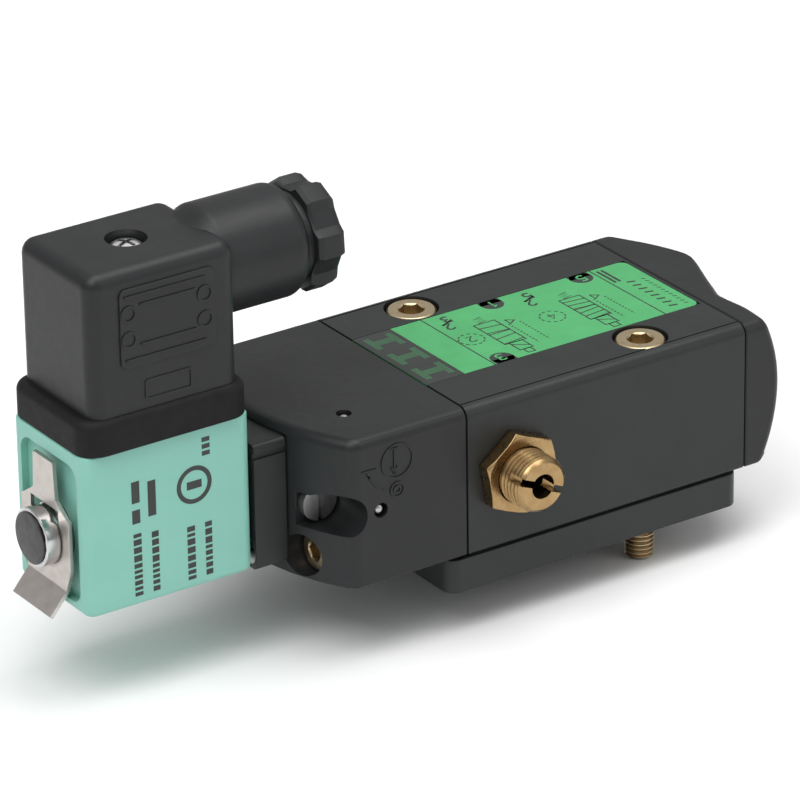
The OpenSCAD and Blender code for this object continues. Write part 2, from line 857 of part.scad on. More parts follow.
module plunger() {
    x0 = core_face_x + plunger_stroke;
    color(steel) difference() {
        cyl_x(x0, nozzle_x - 1, 0, tube_z, tube_r - 0.56);
        cyl_x(x0 - cut, x0 + 6, 0, tube_z, 1.9);
        cyl_x(nozzle_x - 3, nozzle_x, 0, tube_z, 1.8);
        for (side = [-1, 1]) {
            along_x(x0 - cut, nozzle_x)
                translate([side * (tube_r - 0.5), tube_z]) square([1.2, 1.2], center = true);
        }
    }
}

module plunger_seal() {
    color(rubber) cyl_x(nozzle_x - 3, nozzle_x - 0.05, 0, tube_z, 1.8);
}

module plunger_spring() {
    color(steel) coil_spring(core_face_x - 2, core_face_x + plunger_stroke + 6, 0, tube_z, 1.45, 0.2, 8);
}

// Spring steel clip that slides down over the core's groove; its lower end is bent out as a finger grip
module retaining_clip() {
    x1 = clip_x + clip_t;
    lip_l = 5.2;
    color(steel) difference() {
        union() {
            along_x(clip_x, x1) polygon([
                [-3, tube_z + 13.5], [3, tube_z + 13.5], [3.4, tube_z + 7], [7.2, tube_z + 4.5],
                [7.4, tube_z - 4], [5.8, tube_z - 8.2], [-5.8, tube_z - 8.2], [-7.4, tube_z - 4],
                [-7.2, tube_z + 4.5], [-3.4, tube_z + 7]
            ]);
            translate([x1, 0, tube_z - 8.2]) rotate([0, 40, 0]) translate([-clip_t, -5.8, -lip_l])
                cube([clip_t, 11.6, lip_l]);
        }
        along_x(clip_x - cut, x1 + cut) translate([0, tube_z]) circle(tube_r - 0.75);
        along_x(clip_x - cut, x1 + cut)
            translate([-(tube_r - 0.75), tube_z]) square([2 * (tube_r - 0.75), 5.5]);
    }
}

module coil() {
    recess = 0.8;
    color(mint) difference() {
        along_z(coil_z0, coil_z1) round_rect([coil_x0, -coil_w / 2], [coil_x1, coil_w / 2], 1.8, 1.8);
        cyl_x(coil_x0 - cut, coil_x1 + cut, 0, tube_z, tube_r + 0.08);
        // hollow of the bobbin, the winding and the magnetic frame
        cyl_x(coil_x0 + coil_wall, coil_x1 - coil_wall, 0, tube_z, winding_r + 0.6);
        box([coil_x0 + coil_wall, -7, tube_z], [coil_x1 - coil_wall, 7, tube_z + winding_r + 2.6]);
        // shallow round recess in the outer end
        cyl_x(coil_x0 - cut, coil_x0 + recess, 0, tube_z + 1, 10.2);
        blades(0);
        cyl_z(coil_z1 - 5, coil_z1 + cut, connector_mid, 0, 1.55);
    }
}

module coil_bobbin() {
    x0 = coil_x0 + coil_wall + yoke_t;
    x1 = coil_x1 - coil_wall - yoke_t;
    color(nylon) difference() {
        union() {
            cyl_x(x0, x1, 0, tube_z, 6);
            cyl_x(x0, x0 + 1, 0, tube_z, winding_r + 0.3);
            cyl_x(x1 - 1, x1, 0, tube_z, winding_r + 0.3);
        }
        cyl_x(x0 - cut, x1 + cut, 0, tube_z, tube_r + 0.1);
    }
}

module coil_winding() {
    color(copper) tube_x(coil_x0 + 2.6 + yoke_t, coil_x1 - 2.6 - yoke_t, 0, tube_z, winding_r, 6);
}

module coil_yoke() {
    x0 = coil_x0 + coil_wall;
    x1 = coil_x1 - coil_wall;
    z1 = tube_z + winding_r + 2.6;
    color(steel) difference() {
        union() {
            for (x = [x0, x1 - yoke_t]) {
                intersection() {
                    cyl_x(x, x + yoke_t, 0, tube_z, winding_r + 0.5);
                    box([x, -7, tube_z - 12], [x + yoke_t, 7, z1]);
                }
                box([x, -7, tube_z], [x + yoke_t, 7, z1]);
            }
            box([x0, -7, z1 - 1.8], [x1, 7, z1]);
        }
        cyl_x(x0 - cut, x1 + cut, 0, tube_z, tube_r + 0.1);
    }
}

// The three flat contacts of the coil, enlarged by grow
module blades(grow) {
    z0 = coil_z1 - 3;
    z1 = gasket_z1 + blade_out;
    for (side = [-1, 1]) {
        x = connector_mid + side * blade_offset;
        box(
            [x - blade_t / 2 - grow, -blade_w / 2 - grow, z0],
            [x + blade_t / 2 + grow, blade_w / 2 + grow, z1]
        );
    }
    box(
        [connector_mid - blade_w / 2 - grow, earth_y - blade_t / 2 - grow, z0],
        [connector_mid + blade_w / 2 + grow, earth_y + blade_t / 2 + grow, z1]
    );
}

module coil_terminals() {
    color(steel) blades(0);
}

// ---- Connector ----

module connector_gasket() {
    color(rubber) difference() {
        along_z(coil_z1, gasket_z1) round_rect([coil_x0, -12], [coil_x1, 12], 4, 4);
        blades(0.3);
        cyl_z(coil_z1 - cut, gasket_z1 + cut, connector_mid, 0, 1.9);
    }
}

// Outside of the connector's box, made smaller all round by inset
module connector_block(inset) {
    r = 2.6 - min(inset, 1.6);
    low = [connector_x0 + inset, -connector_half_w + inset, gasket_z1];
    high = [connector_x1 - inset, connector_half_w - inset, connector_z1 - inset];
    intersection() {
        along_z(low[2], high[2]) round_rect([low[0], low[1]], [high[0], high[1]], r, r);
        along_x(low[0], high[0]) round_rect([low[1], low[2]], [high[1], high[2]], 0, r);
        along_y(low[1], high[1]) round_rect([low[0], low[2]], [high[0], high[2]], 0, r);
    }
}

module connector_housing() {
    rim_r = 2.4;
    boss_r = 4;
    color(black_plastic) difference() {
        union() {
            difference() {
                connector_block(0);
                translate([0, 0, -0.01]) connector_block(connector_wall);
            }
            difference() {
                cyl_x(connector_x1 - connector_wall, barrel_x1 - rim_r, 0, barrel_z, barrel_r);
                cyl_x(connector_x1 - connector_wall - cut, connector_x1, 0, barrel_z, gland_bore_r - 2);
            }
            translate([barrel_x1 - rim_r, 0, barrel_z]) rotate([0, 90, 0]) rotate_extrude() intersection() {
                union() {
                    square([barrel_r - rim_r, rim_r]);
                    translate([barrel_r - rim_r, 0]) circle(rim_r);
                }
                square([barrel_r, rim_r]);
            }
            // sleeve round the fixing screw
            cyl_z(insert_z1 + 0.3, connector_z1 - 1, connector_mid, 0, boss_r);
        }
        cyl_x(gland_floor_x, barrel_x1 + cut, 0, barrel_z, gland_bore_r);
        cyl_x(connector_x1 - connector_wall - cut, gland_floor_x + cut, 0, barrel_z, gland_bore_r - 2);
        cyl_z(insert_z1, connector_z1 + cut, connector_mid, 0, 1.6);
        cyl_z(connector_z1 - 3.6, connector_z1 + cut, connector_mid, 0, 3.45);
    }
}

module connector_insert() {
    color(black_plastic) difference() {
        along_z(gasket_z1, insert_z1)
            round_rect(
                [connector_x0 + connector_wall + 0.1, -connector_half_w + connector_wall + 0.1],
                [connector_x1 - connector_wall - 0.1, connector_half_w - connector_wall - 0.1],
                1, 1
            );
        sockets(0);
        for (spot = socket_spots()) {
            cyl_z(socket_z1, insert_z1 + cut, spot[0], spot[1], 1.6);
        }
        cyl_z(gasket_z1 - cut, insert_z1 + cut, connector_mid, 0, 1.7);
    }
}

// Contact positions as [x, y, turned]: turned contacts run along X
function socket_spots() = [
    [connector_mid - blade_offset, 0, false],
    [connector_mid + blade_offset, 0, false],
    [connector_mid, earth_y, true]
];

// Blocks that take the coil's flat contacts
module sockets(inset) {
    long = blade_w / 2 + 0.5 - inset;
    short = 1.3 - inset;
    for (spot = socket_spots()) {
        half = spot[2] ? [long, short] : [short, long];
        box(
            [spot[0] - half[0], spot[1] - half[1], gasket_z1],
            [spot[0] + half[0], spot[1] + half[1], socket_z1]
        );
    }
}

module contact_sockets() {
    color(brass_tone) difference() {
        sockets(0);
        blades(0);
        for (spot = socket_spots()) {
            cyl_z(gasket_z1 + blade_out, insert_z1, spot[0], spot[1], 0.9);
        }
    }
}

module terminal_screws() {
    color(steel) for (spot = socket_spots()) {
        difference() {
            union() {
                cyl_z(gasket_z1 + blade_out + 0.1, insert_z1 - 2.4, spot[0], spot[1], 0.85);
                cyl_z(socket_z1, insert_z1 - 2.4, spot[0], spot[1], 1.5);
            }
            box(
                [spot[0] - 2, spot[1] - 0.25, insert_z1 - 3.1],
                [spot[0] + 2, spot[1] + 0.25, insert_z1]
            );
        }
    }
}

module connector_screw() {
    seat_z = connector_z1 - 3.6;
    color(steel) translate([connector_mid, 0, seat_z])
        pan_screw(1.5, 2.75, 2.1, seat_z - coil_z1 + 4.6);
}

module gland_seal() {
    color(rubber) tube_x(gland_floor_x, gland_floor_x + gland_seal_l, 0, barrel_z, gland_bore_r - fit, 3.4);
}

module gland_washer() {
    x0 = gland_floor_x + gland_seal_l;
    color(nylon) tube_x(x0, x0 + gland_washer_t, 0, barrel_z, gland_bore_r - 0.1, cable_r);
}

module gland_nut() {
    x0 = gland_flats_x;
    x1 = x0 + gland_flats_l;
    flat_r = gland_nut_r * cos(30);
    color(black_plastic) translate([0, 0, barrel_z]) difference() {
        union() {
            cyl_x(gland_neck_x, x1 - 0.1, 0, 0, gland_bore_r - 0.08);
            cyl_x(barrel_x1 + 0.15, x0 + cut, 0, 0, gland_bore_r + 0.5);
            intersection() {
                // a shallow flute in the middle of each flat
                translate([x0, 0, 0]) rotate([gland_turn - 90, 0, 0]) rotate([0, 90, 0]) difference() {
                    cylinder(h = gland_flats_l, r = gland_nut_r, $fn = 6);
                    for (turn = [30 : 60 : 330]) {
                        rotate(turn) translate([flat_r - 0.4, -1.9, -cut])
                            cube([cut, 3.8, gland_flats_l + 2 * cut]);
                    }
                }
                // chamfers of the two ends
                translate([x0, 0, 0]) rotate([0, 90, 0]) rotate_extrude() polygon([
                    [0, 0], [gland_nut_r - 0.8, 0], [gland_nut_r + 0.3, 0.7],
                    [gland_nut_r + 0.3, gland_flats_l - 1.07], [gland_nut_r - 1.6, gland_flats_l],
                    [0, gland_flats_l]
                ]);
            }
        }
        cyl_x(gland_neck_x - cut, x1 + cut, 0, 0, cable_r);
    }
}

// ---- Exhaust reducer ----

module exhaust_reducer() {
    thread_l = reducer_inner_y - reducer_end_y;
    color(brass_tone) difference() {
        translate([port3_x, reducer_end_y, spool_z]) rotate([-90, 0, 0])
            threaded_rod(0, thread_l, g18_major_r, g18_major_r - 0.5, g18_pitch);
        cyl_y(reducer_end_y - cut, reducer_inner_y + cut, port3_x, spool_z, exhaust_r);
        translate([port3_x, reducer_end_y, spool_z]) rotate([0, -slot_angle, 0])
            box([-6, -cut, -slot_w / 2], [6, slot_depth, slot_w / 2]);
    }
}

module reducer_locknut() {
    y1 = -half_w - 0.08;
    corner_r = locknut_af / 2 / cos(30);
    color(brass_tone) difference() {
        translate([port3_x, y1, spool_z]) rotate([90, 0, 0]) intersection() {
            rotate(locknut_turn) cylinder(h = locknut_t, r = corner_r, $fn = 6);
            rotate_extrude() polygon([
                [0, 0], [corner_r + 0.3, 0], [corner_r + 0.3, locknut_t - 0.67], [corner_r - 0.9, locknut_t],
                [0, locknut_t]
            ]);
        }
        cyl_y(y1 - locknut_t - cut, y1 + cut, port3_x, spool_z, g18_major_r + fit);
    }
}

valve_body();
plate_gasket();
interface_plate();
namur_seals();
mounting_screws();
label_plate();
pilot_head();
head_gasket();
head_screws();
sealing_balls();
end_cap();
cap_gasket();
end_cap_screws();
spool();
spool_seals();
pilot_piston();
piston_seal();
return_spring();
manual_operator();
operator_seal();
pilot_body();
pilot_gasket();
pilot_screws();
pilot_nozzle();
core_tube();
fixed_core();
plunger();
plunger_seal();
plunger_spring();
retaining_clip();
coil();
coil_bobbin();
coil_winding();
coil_yoke();
coil_terminals();
connector_gasket();
connector_housing();
connector_insert();
contact_sockets();
terminal_screws();
connector_screw();
gland_seal();
gland_washer();
gland_nut();
exhaust_reducer();
reducer_locknut();
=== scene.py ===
"""Looks of the NAMUR solenoid valve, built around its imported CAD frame.

Lengths are in millimetres in the same frame as the CAD, and are turned into metres when a mesh is made.
"""

import bisect
import json
import math
import random

import bmesh
import bpy
from mathutils import Matrix, Vector


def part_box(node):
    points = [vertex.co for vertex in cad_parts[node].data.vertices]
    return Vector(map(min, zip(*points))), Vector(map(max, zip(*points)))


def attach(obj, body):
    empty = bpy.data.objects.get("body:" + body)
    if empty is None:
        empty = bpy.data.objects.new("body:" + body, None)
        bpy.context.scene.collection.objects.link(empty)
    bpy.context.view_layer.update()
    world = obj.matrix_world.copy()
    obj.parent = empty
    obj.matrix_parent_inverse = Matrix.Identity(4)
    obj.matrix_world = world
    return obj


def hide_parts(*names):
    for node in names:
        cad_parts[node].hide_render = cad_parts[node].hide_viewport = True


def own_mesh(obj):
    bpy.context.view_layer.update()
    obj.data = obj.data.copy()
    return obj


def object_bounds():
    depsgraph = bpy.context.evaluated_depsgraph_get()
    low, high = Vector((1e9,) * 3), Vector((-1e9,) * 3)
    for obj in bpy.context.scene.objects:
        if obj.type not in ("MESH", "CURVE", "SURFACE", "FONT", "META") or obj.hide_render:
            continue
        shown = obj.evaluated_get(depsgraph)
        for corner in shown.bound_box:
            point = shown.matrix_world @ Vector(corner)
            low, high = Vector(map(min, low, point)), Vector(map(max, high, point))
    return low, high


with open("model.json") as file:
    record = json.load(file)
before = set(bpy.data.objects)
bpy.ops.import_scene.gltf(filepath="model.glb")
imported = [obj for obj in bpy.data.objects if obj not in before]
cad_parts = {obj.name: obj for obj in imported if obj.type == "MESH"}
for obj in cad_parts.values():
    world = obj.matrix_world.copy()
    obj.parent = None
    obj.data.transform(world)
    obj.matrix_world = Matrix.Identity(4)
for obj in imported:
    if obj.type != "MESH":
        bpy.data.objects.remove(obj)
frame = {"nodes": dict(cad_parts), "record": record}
cad_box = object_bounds()

MM = 0.001
BODY_OF = {node: body for body, nodes in frame["record"]["behaviour"]["bodies"].items() for node in nodes}
SLOT_OF = {part["node"]: part["material_slot"] for part in frame["record"]["subparts"]}


def corners(node):
    """Lowest and highest corner of a CAD node, in millimetres."""
    low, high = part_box(node)
    return low / MM, high / MM


def middle_of(node):
    """Middle of a CAD node's box along X, Y and Z, in millimetres."""
    low, high = corners(node)
    return [(a + b) / 2 for a, b in zip(low, high)]


# ---- Camera, floor and light ----

VIEW_AZIMUTH = math.radians(-33.744)
VIEW_ELEVATION = math.radians(25.001)
VIEW_ROLL = math.radians(-0.859)
# Where the camera stands from the frame's origin, in metres: backwards, then to the right and up
VIEW_DISTANCE = 0.99848
VIEW_OFFSET = (-0.021237, 0.016688)
FOCAL_LENGTH = 266.39
SENSOR_WIDTH = 36
CLIP_END = 20

FLOOR_DROP = 0.0002
FLOOR_SIZE = 6.0

# The middle of the valve, in metres
LIGHT_TARGET = Vector((-0.03, 0, 0.03))
# Name, azimuth and elevation in degrees, distance and side in metres, and power in watts
SOFTBOXES = [
    ("key", -65, 58, 0.9, 0.55, 3.9),
    ("top", 60, 75, 0.9, 0.6, 4.2),
    ("fill", 40, 20, 1.2, 0.6, 1.2),
]
# Brightness of the sky by height, from 0 at the horizon to 1 overhead
SKY_LEVELS = [(0.0, 0.35), (0.7, 1.0)]
SKY_STRENGTH = 0.68


def towards(azimuth, elevation):
    """Unit vector from the valve towards a viewer at the given angles, in radians."""
    return Vector((
        math.sin(azimuth) * math.cos(elevation),
        -math.cos(azimuth) * math.cos(elevation),
        math.sin(elevation),
    ))


def add_camera():
    """Puts the camera at the view's angle, looking past the frame's origin by VIEW_OFFSET."""
    back = towards(VIEW_AZIMUTH, VIEW_ELEVATION)
    level = Vector((math.cos(VIEW_AZIMUTH), math.sin(VIEW_AZIMUTH), 0))
    upright = back.cross(level)
    right = level * math.cos(VIEW_ROLL) + upright * math.sin(VIEW_ROLL)
    up = upright * math.cos(VIEW_ROLL) - level * math.sin(VIEW_ROLL)
    eye = back * VIEW_DISTANCE + right * VIEW_OFFSET[0] + up * VIEW_OFFSET[1]
    data = bpy.data.cameras.new("camera")
    data.lens = FOCAL_LENGTH
    data.sensor_width = SENSOR_WIDTH
    data.clip_end = CLIP_END
    camera = bpy.data.objects.new("camera", data)
    turn = Matrix((right, up, back)).transposed().to_4x4()
    camera.matrix_world = Matrix.Translation(eye) @ turn
    bpy.context.scene.collection.objects.link(camera)
    bpy.context.scene.camera = camera
    bpy.context.scene.view_settings.view_transform = "Standard"


def add_floor():
    """A pale floor just under the ends of the mounting screws."""
    z = cad_box[0][2] - FLOOR_DROP
    half = FLOOR_SIZE / 2
    spots = [(-half, -half, z), (half, -half, z), (half, half, z), (-half, half, z)]
    mesh = bpy.data.meshes.new("floor")
    mesh.from_pydata(spots, [], [(0, 1, 2, 3)])
    mesh.materials.append(pale_floor())
    floor = bpy.data.objects.new("floor", mesh)
    bpy.context.scene.collection.objects.link(floor)


def add_sky():
    """A grey sky that is brightest overhead, so that rounded edges stand out from the faces beside them."""
    world = bpy.data.worlds.new("studio")
    world.use_nodes = True
    nodes, links = world.node_tree.nodes, world.node_tree.links
    height = nodes.new("ShaderNodeSeparateXYZ")
    links.new(nodes.new("ShaderNodeTexCoord").outputs["Generated"], height.inputs["Vector"])
    shade = nodes.new("ShaderNodeValToRGB")
    for element, (place, level) in zip(shade.color_ramp.elements, SKY_LEVELS):
        element.position = place
        element.color = (*grey(level), 1)
    links.new(height.outputs["Z"], shade.inputs["Fac"])
    background = nodes["Background"]
    links.new(shade.outputs["Color"], background.inputs["Color"])
    background.inputs["Strength"].default_value = SKY_STRENGTH
    bpy.context.scene.world = world


def add_lights():
    """The softboxes, which all look at the middle of the valve."""
    for name, azimuth, elevation, distance, side, power in SOFTBOXES:
        away = towards(math.radians(azimuth), math.radians(elevation))
        data = bpy.data.lights.new(name, "AREA")
        data.shape = "SQUARE"
        data.size = side
        data.energy = power
        light = bpy.data.objects.new(name, data)
        light.location = LIGHT_TARGET + away * distance
        light.rotation_euler = away.to_track_quat("Z", "Y").to_euler()
        bpy.context.scene.collection.objects.link(light)


# ---- Materials ----

# How open a place is where its painted shade is full, and where it ends
PAINTED_SHADE_OPENNESS = (0.35, 0.85)
PAINTED_SHADE_SAMPLES = 8


class Shader:
    """A Principled material with its texture nodes read from the object's own coordinates, in metres."""

    def __init__(self, name, roughness, metallic=0.0, specular=0.5):
        self.material = bpy.data.materials.new(name)
        self.material.use_nodes = True
        self.tree = self.material.node_tree
        self.shader = self.tree.nodes["Principled BSDF"]
        self.shader.inputs["Roughness"].default_value = roughness
        self.shader.inputs["Metallic"].default_value = metallic
        self.shader.inputs["Specular IOR Level"].default_value = specular
        self.coordinates = self.node("ShaderNodeTexCoord").outputs["Object"]
        self.height = None

    def node(self, kind, **settings):
        """A new node with its settings."""
        made = self.tree.nodes.new(kind)
        for key, value in settings.items():
            setattr(made, key, value)
        return made

    def link(self, start, end):
        """Links an output to an input."""
        self.tree.links.new(start, end)

    def stretched(self, scale):
        """The coordinates scaled differently along X, Y and Z."""
        mapping = self.node("ShaderNodeMapping")
        mapping.inputs["Scale"].default_value = scale
        self.link(self.coordinates, mapping.inputs["Vector"])
        return mapping.outputs["Vector"]

    def noise(self, size_mm, detail=3.0, roughness=0.55, stretch=None, distortion=0.0):
        """Noise whose features are about size_mm across, from 0 to 1."""
        texture = self.node("ShaderNodeTexNoise")
        texture.inputs["Scale"].default_value = 1 / (size_mm * MM)
        texture.inputs["Detail"].default_value = detail
        texture.inputs["Roughness"].default_value = roughness
        texture.inputs["Distortion"].default_value = distortion
        self.link(self.stretched(stretch) if stretch else self.coordinates, texture.inputs["Vector"])
        return texture.outputs["Fac"]

    def cells(self, size_mm):
        """Distance to the nearest of scattered points about size_mm apart."""
        texture = self.node("ShaderNodeTexVoronoi")
        texture.inputs["Scale"].default_value = 1 / (size_mm * MM)
        self.link(self.coordinates, texture.inputs["Vector"])
        return texture.outputs["Distance"]

    def ramp(self, value, stops):
        """Turns a value into a colour by stops of (place, colour)."""
        ramp = self.node("ShaderNodeValToRGB")
        for _ in stops[2:]:
            ramp.color_ramp.elements.new(0.5)
        for element, (place, colour) in zip(ramp.color_ramp.elements, stops):
            element.position = place
            element.color = (*colour, 1)
        self.link(value, ramp.inputs["Fac"])
        return ramp.outputs["Color"]

    def roughness(self, value, low, high):
        """Lets the roughness vary from low to high with a value from 0 to 1."""
        span = self.node("ShaderNodeMapRange")
        span.inputs["To Min"].default_value = low
        span.inputs["To Max"].default_value = high
        self.link(value, span.inputs["Value"])
        self.link(span.outputs["Result"], self.shader.inputs["Roughness"])

    def bump(self, value, depth_mm):
        """Adds relief on top of any relief that the material already has."""
        bump = self.node("ShaderNodeBump")
        bump.inputs["Distance"].default_value = depth_mm * MM
        self.link(value, bump.inputs["Height"])
        if self.height:
            self.link(self.height, bump.inputs["Normal"])
        self.height = bump.outputs["Normal"]
        self.link(self.height, self.shader.inputs["Normal"])

    def colour(self, socket, painted_shade_mm=0.0, painted_shade_colour=(0.5, 0.5, 0.5)):
        """Sets the base colour, with painted shade in narrow places up to the given width in millimetres."""
        if painted_shade_mm > 0:
            # Ambient occlusion marks the narrow places, and there the base colour is multiplied by a painted
            # shade colour.
            hollow = self.node("ShaderNodeAmbientOcclusion", samples=PAINTED_SHADE_SAMPLES)
            hollow.inputs["Distance"].default_value = painted_shade_mm * MM
            painted_shade_mix = self.node("ShaderNodeMix", data_type="RGBA", blend_type="MULTIPLY")
            painted_shade_mix.inputs["Factor"].default_value = 1.0
            self.link(socket, painted_shade_mix.inputs["A"])
            fully_shaded, unshaded = PAINTED_SHADE_OPENNESS
            shade = self.ramp(hollow.outputs["AO"], [(fully_shaded, painted_shade_colour), (unshaded, grey(1.0))])
            self.link(shade, painted_shade_mix.inputs["B"])
            socket = painted_shade_mix.outputs["Result"]
        self.link(socket, self.shader.inputs["Base Color"])


def grey(value):
    """A colour without hue."""
    return (value, value, value)


def pale_floor():
    """Nearly white and matt, with a hardly visible unevenness."""
    shader = Shader("floor_pale", 0.9, specular=0.1)
    shader.colour(shader.ramp(shader.noise(300), [(0.3, grey(0.86)), (0.7, grey(0.88))]))
    return shader.material


def coated_metal():
    """Black powder-like coating of the die-cast body: fine, even orange peel."""
    shader = Shader("black_coating", 0.42, specular=0.36)
    tone = shader.noise(9, detail=4)
    shader.colour(shader.ramp(tone, [(0.3, (0.013, 0.015, 0.015)), (0.75, (0.018, 0.020, 0.020))]))
    shader.roughness(shader.noise(2.5), 0.34, 0.48)
    shader.bump(shader.noise(0.35, detail=2), 0.012)
    shader.bump(shader.noise(0.12, detail=1), 0.004)
    return shader.material


def moulded_plastic(name="black_polyamide", tone_low=0.011, tone_high=0.016):
    """Glass-filled black polyamide: faint flow marks, fine pits and scuffs."""
    shader = Shader(name, 0.4, specular=0.34)
    flow = shader.noise(14, detail=5, stretch=(1, 1, 0.45))
    low = (tone_low, tone_low * 1.05, tone_low * 1.12)
    high = (tone_high, tone_high * 1.05, tone_high * 1.12)
    shader.colour(shader.ramp(flow, [(0.3, low), (0.72, high)]))
    shader.roughness(shader.noise(1.8, detail=4), 0.34, 0.5)
    shader.bump(shader.noise(0.5, detail=3), 0.014)
    shader.bump(shader.cells(0.16), 0.003)
    return shader.material


def rubber():
    """Matt black rubber with a fine grain."""
    shader = Shader("black_rubber", 0.58, specular=0.22)
    shader.colour(shader.ramp(shader.noise(3), [(0.3, grey(0.006)), (0.7, grey(0.010))]))
    shader.roughness(shader.noise(0.8), 0.55, 0.72)
    shader.bump(shader.noise(0.2, detail=2), 0.01)
    return shader.material


def mint_plastic():
    """Satin epoxy of the coil, with a soft cloudy tone."""
    shader = Shader("mint_epoxy", 0.42)
    cloud = shader.noise(11, detail=4)
    shader.colour(shader.ramp(cloud, [(0.3, (0.21, 0.50, 0.41)), (0.7, (0.228, 0.523, 0.433))]))
    shader.roughness(shader.noise(2.2), 0.36, 0.48)
    shader.bump(shader.noise(0.45, detail=3), 0.01)
    return shader.material


def turned_brass():
    """Machined brass: lathe lines, and darker tarnish in patches."""
    shader = Shader("turned_brass", 0.3, metallic=1.0)
    tarnish = shader.noise(2.6, detail=5, roughness=0.65)
    stops = [(0.25, (0.30, 0.185, 0.085)), (0.5, (0.38, 0.25, 0.115)), (0.8, (0.46, 0.32, 0.16))]
    # Thread valleys and other hollows up to 0.7 mm wide get painted shade.
    shader.colour(shader.ramp(tarnish, stops), 0.7, (0.16, 0.11, 0.07))
    shader.roughness(shader.noise(1.1, detail=4), 0.2, 0.36)
    shader.bump(shader.noise(0.08, detail=1, stretch=(0.15, 1, 0.15)), 0.004)
    return shader.material


def yellow_zinc():
    """Zinc with yellow passivation: gold with green and pink drifts."""
    shader = Shader("yellow_zinc", 0.3, metallic=1.0)
    drift = shader.noise(1.7, detail=4, distortion=0.8)
    stops = [
        (0.25, (0.46, 0.31, 0.17)), (0.45, (0.58, 0.45, 0.27)),
        (0.6, (0.54, 0.46, 0.30)), (0.8, (0.64, 0.43, 0.30)),
    ]
    # Hollows up to 0.5 mm wide, such as thread valleys, get a warm painted shade.
    shader.colour(shader.ramp(drift, stops), 0.5, (0.42, 0.29, 0.23))
    shader.roughness(shader.noise(0.6, detail=4), 0.24, 0.4)
    shader.bump(shader.noise(0.3, detail=3), 0.006)
    return shader.material


def steel(name="machined_steel", low=0.42, high=0.56, rough=(0.22, 0.4)):
    """Bare or plated steel from brightness low to high, with fine lathe lines."""
    shader = Shader(name, 0.3, metallic=1.0)
    tone = shader.ramp(shader.noise(2.2, detail=4), [(0.3, grey(low)), (0.75, grey(high))])
    # Recesses up to 0.8 mm wide, such as a screw's cross or a slot, get painted shade.
    shader.colour(tone, 0.8, grey(0.12))
    shader.roughness(shader.noise(0.7, detail=4), rough[0], rough[1])
    shader.bump(shader.noise(0.1, detail=1, stretch=(0.2, 1, 1)), 0.003)
    return shader.material


def clip_plating():
    """Dull plating on the spring steel clip, a little warm and blotchy."""
    shader = Shader("clip_plating", 0.42, metallic=1.0)
    blotch = shader.noise(2.4, detail=5, distortion=0.4)
    stops = [(0.25, (0.50, 0.46, 0.43)), (0.5, (0.56, 0.52, 0.49)), (0.8, (0.62, 0.58, 0.55))]
    # Hollows up to 1.2 mm wide get a warm painted shade.
    shader.colour(shader.ramp(blotch, stops), 1.2, (0.4, 0.32, 0.27))
    shader.roughness(shader.noise(0.8, detail=4), 0.32, 0.5)
    shader.bump(shader.noise(0.25, detail=2), 0.005)
    return shader.material


def label_film(name, low, high):
    """Printed film: glossy, very slightly wavy over its glue."""
    shader = Shader(name, 0.3)
    shader.colour(shader.ramp(shader.noise(6, detail=3), [(0.3, low), (0.7, high)]))
    shader.roughness(shader.noise(1.5), 0.25, 0.36)
    shader.bump(shader.noise(4, detail=1), 0.02)
    shader.bump(shader.noise(0.15, detail=1), 0.002)
    return shader.material


def copper_wire():
    """Enamelled copper, with the turns of the winding as relief."""
    shader = Shader("copper_wire", 0.32, metallic=1.0)
    shader.colour(shader.ramp(shader.noise(1.5), [(0.3, (0.50, 0.22, 0.11)), (0.7, (0.66, 0.32, 0.17))]))
    wire = shader.node("ShaderNodeTexWave")
    wire.inputs["Scale"].default_value = 700
    shader.link(shader.coordinates, wire.inputs["Vector"])
    shader.bump(wire.outputs["Fac"], 0.08)
    return shader.material


def natural_nylon():
    """Undyed nylon, a little cloudy."""
    shader = Shader("natural_nylon", 0.45)
    shader.colour(shader.ramp(shader.noise(5), [(0.3, (0.62, 0.58, 0.48)), (0.7, (0.70, 0.67, 0.57))]))
    shader.roughness(shader.noise(1.2), 0.38, 0.55)
    shader.bump(shader.noise(0.4), 0.01)
    return shader.material


def make_materials():
    """One material for each slot of the record, and a few more for printed and cut detail."""
    return {
        "body_black": coated_metal(),
        "plastic_black": moulded_plastic(),
        "rubber_black": rubber(),
        "zinc_yellow": yellow_zinc(),
        "brass": turned_brass(),
        "steel": steel(),
        "chrome": steel("polished_steel", 0.5, 0.66, (0.12, 0.24)),
        "bright_zinc": steel("bright_zinc", 0.82, 0.92, (0.24, 0.36)),
        "clip_plating": clip_plating(),
        "mint": mint_plastic(),
        "label_green": label_film("green_film", (0.05, 0.325, 0.105), (0.062, 0.37, 0.125)),
        "hatch_green": label_film("hatch_green", (0.03, 0.15, 0.055), (0.04, 0.18, 0.068)),
        "copper": copper_wire(),
        "nylon": natural_nylon(),
        "blue_grey": moulded_plastic("acetal", 0.15, 0.19),
        "ink_black": label_film("black_ink", (0.012, 0.016, 0.014), (0.02, 0.026, 0.022)),
        "dark_face": steel("dark_face", 0.05, 0.09, (0.28, 0.42)),
    }


# ---- Mesh helpers ----

# Edges that turn by more than this are drawn sharp
SMOOTH_LIMIT = math.radians(32)
# Neighbouring faces that turn by less than this become one, in a CAD mesh and before rounding
CAD_FLAT = math.radians(0.2)
ROUNDING_FLAT = math.radians(0.5)
# Points closer than this are merged, in a CAD mesh and everywhere else
CAD_WELD = 0.001
WELD = 0.002
# Least 1 + cos(turn) at a corner of an outline and of a line, so that a sharp corner isn't moved too far
INSET_MITRE = 0.3
LINE_MITRE = 0.5
ROUND_STEPS = 5
CORNER_STEPS = 8
CYLINDER_SIDES = 72
TURNED_SIDES = 96
WIRE_SIDES = 10


def arc(centre, radius, start, end, steps):
    """Points on an arc, with angles in degrees, both ends included."""
    turns = [math.radians(start + (end - start) * i / steps) for i in range(steps + 1)]
    return [(centre[0] + radius * math.cos(t), centre[1] + radius * math.sin(t)) for t in turns]


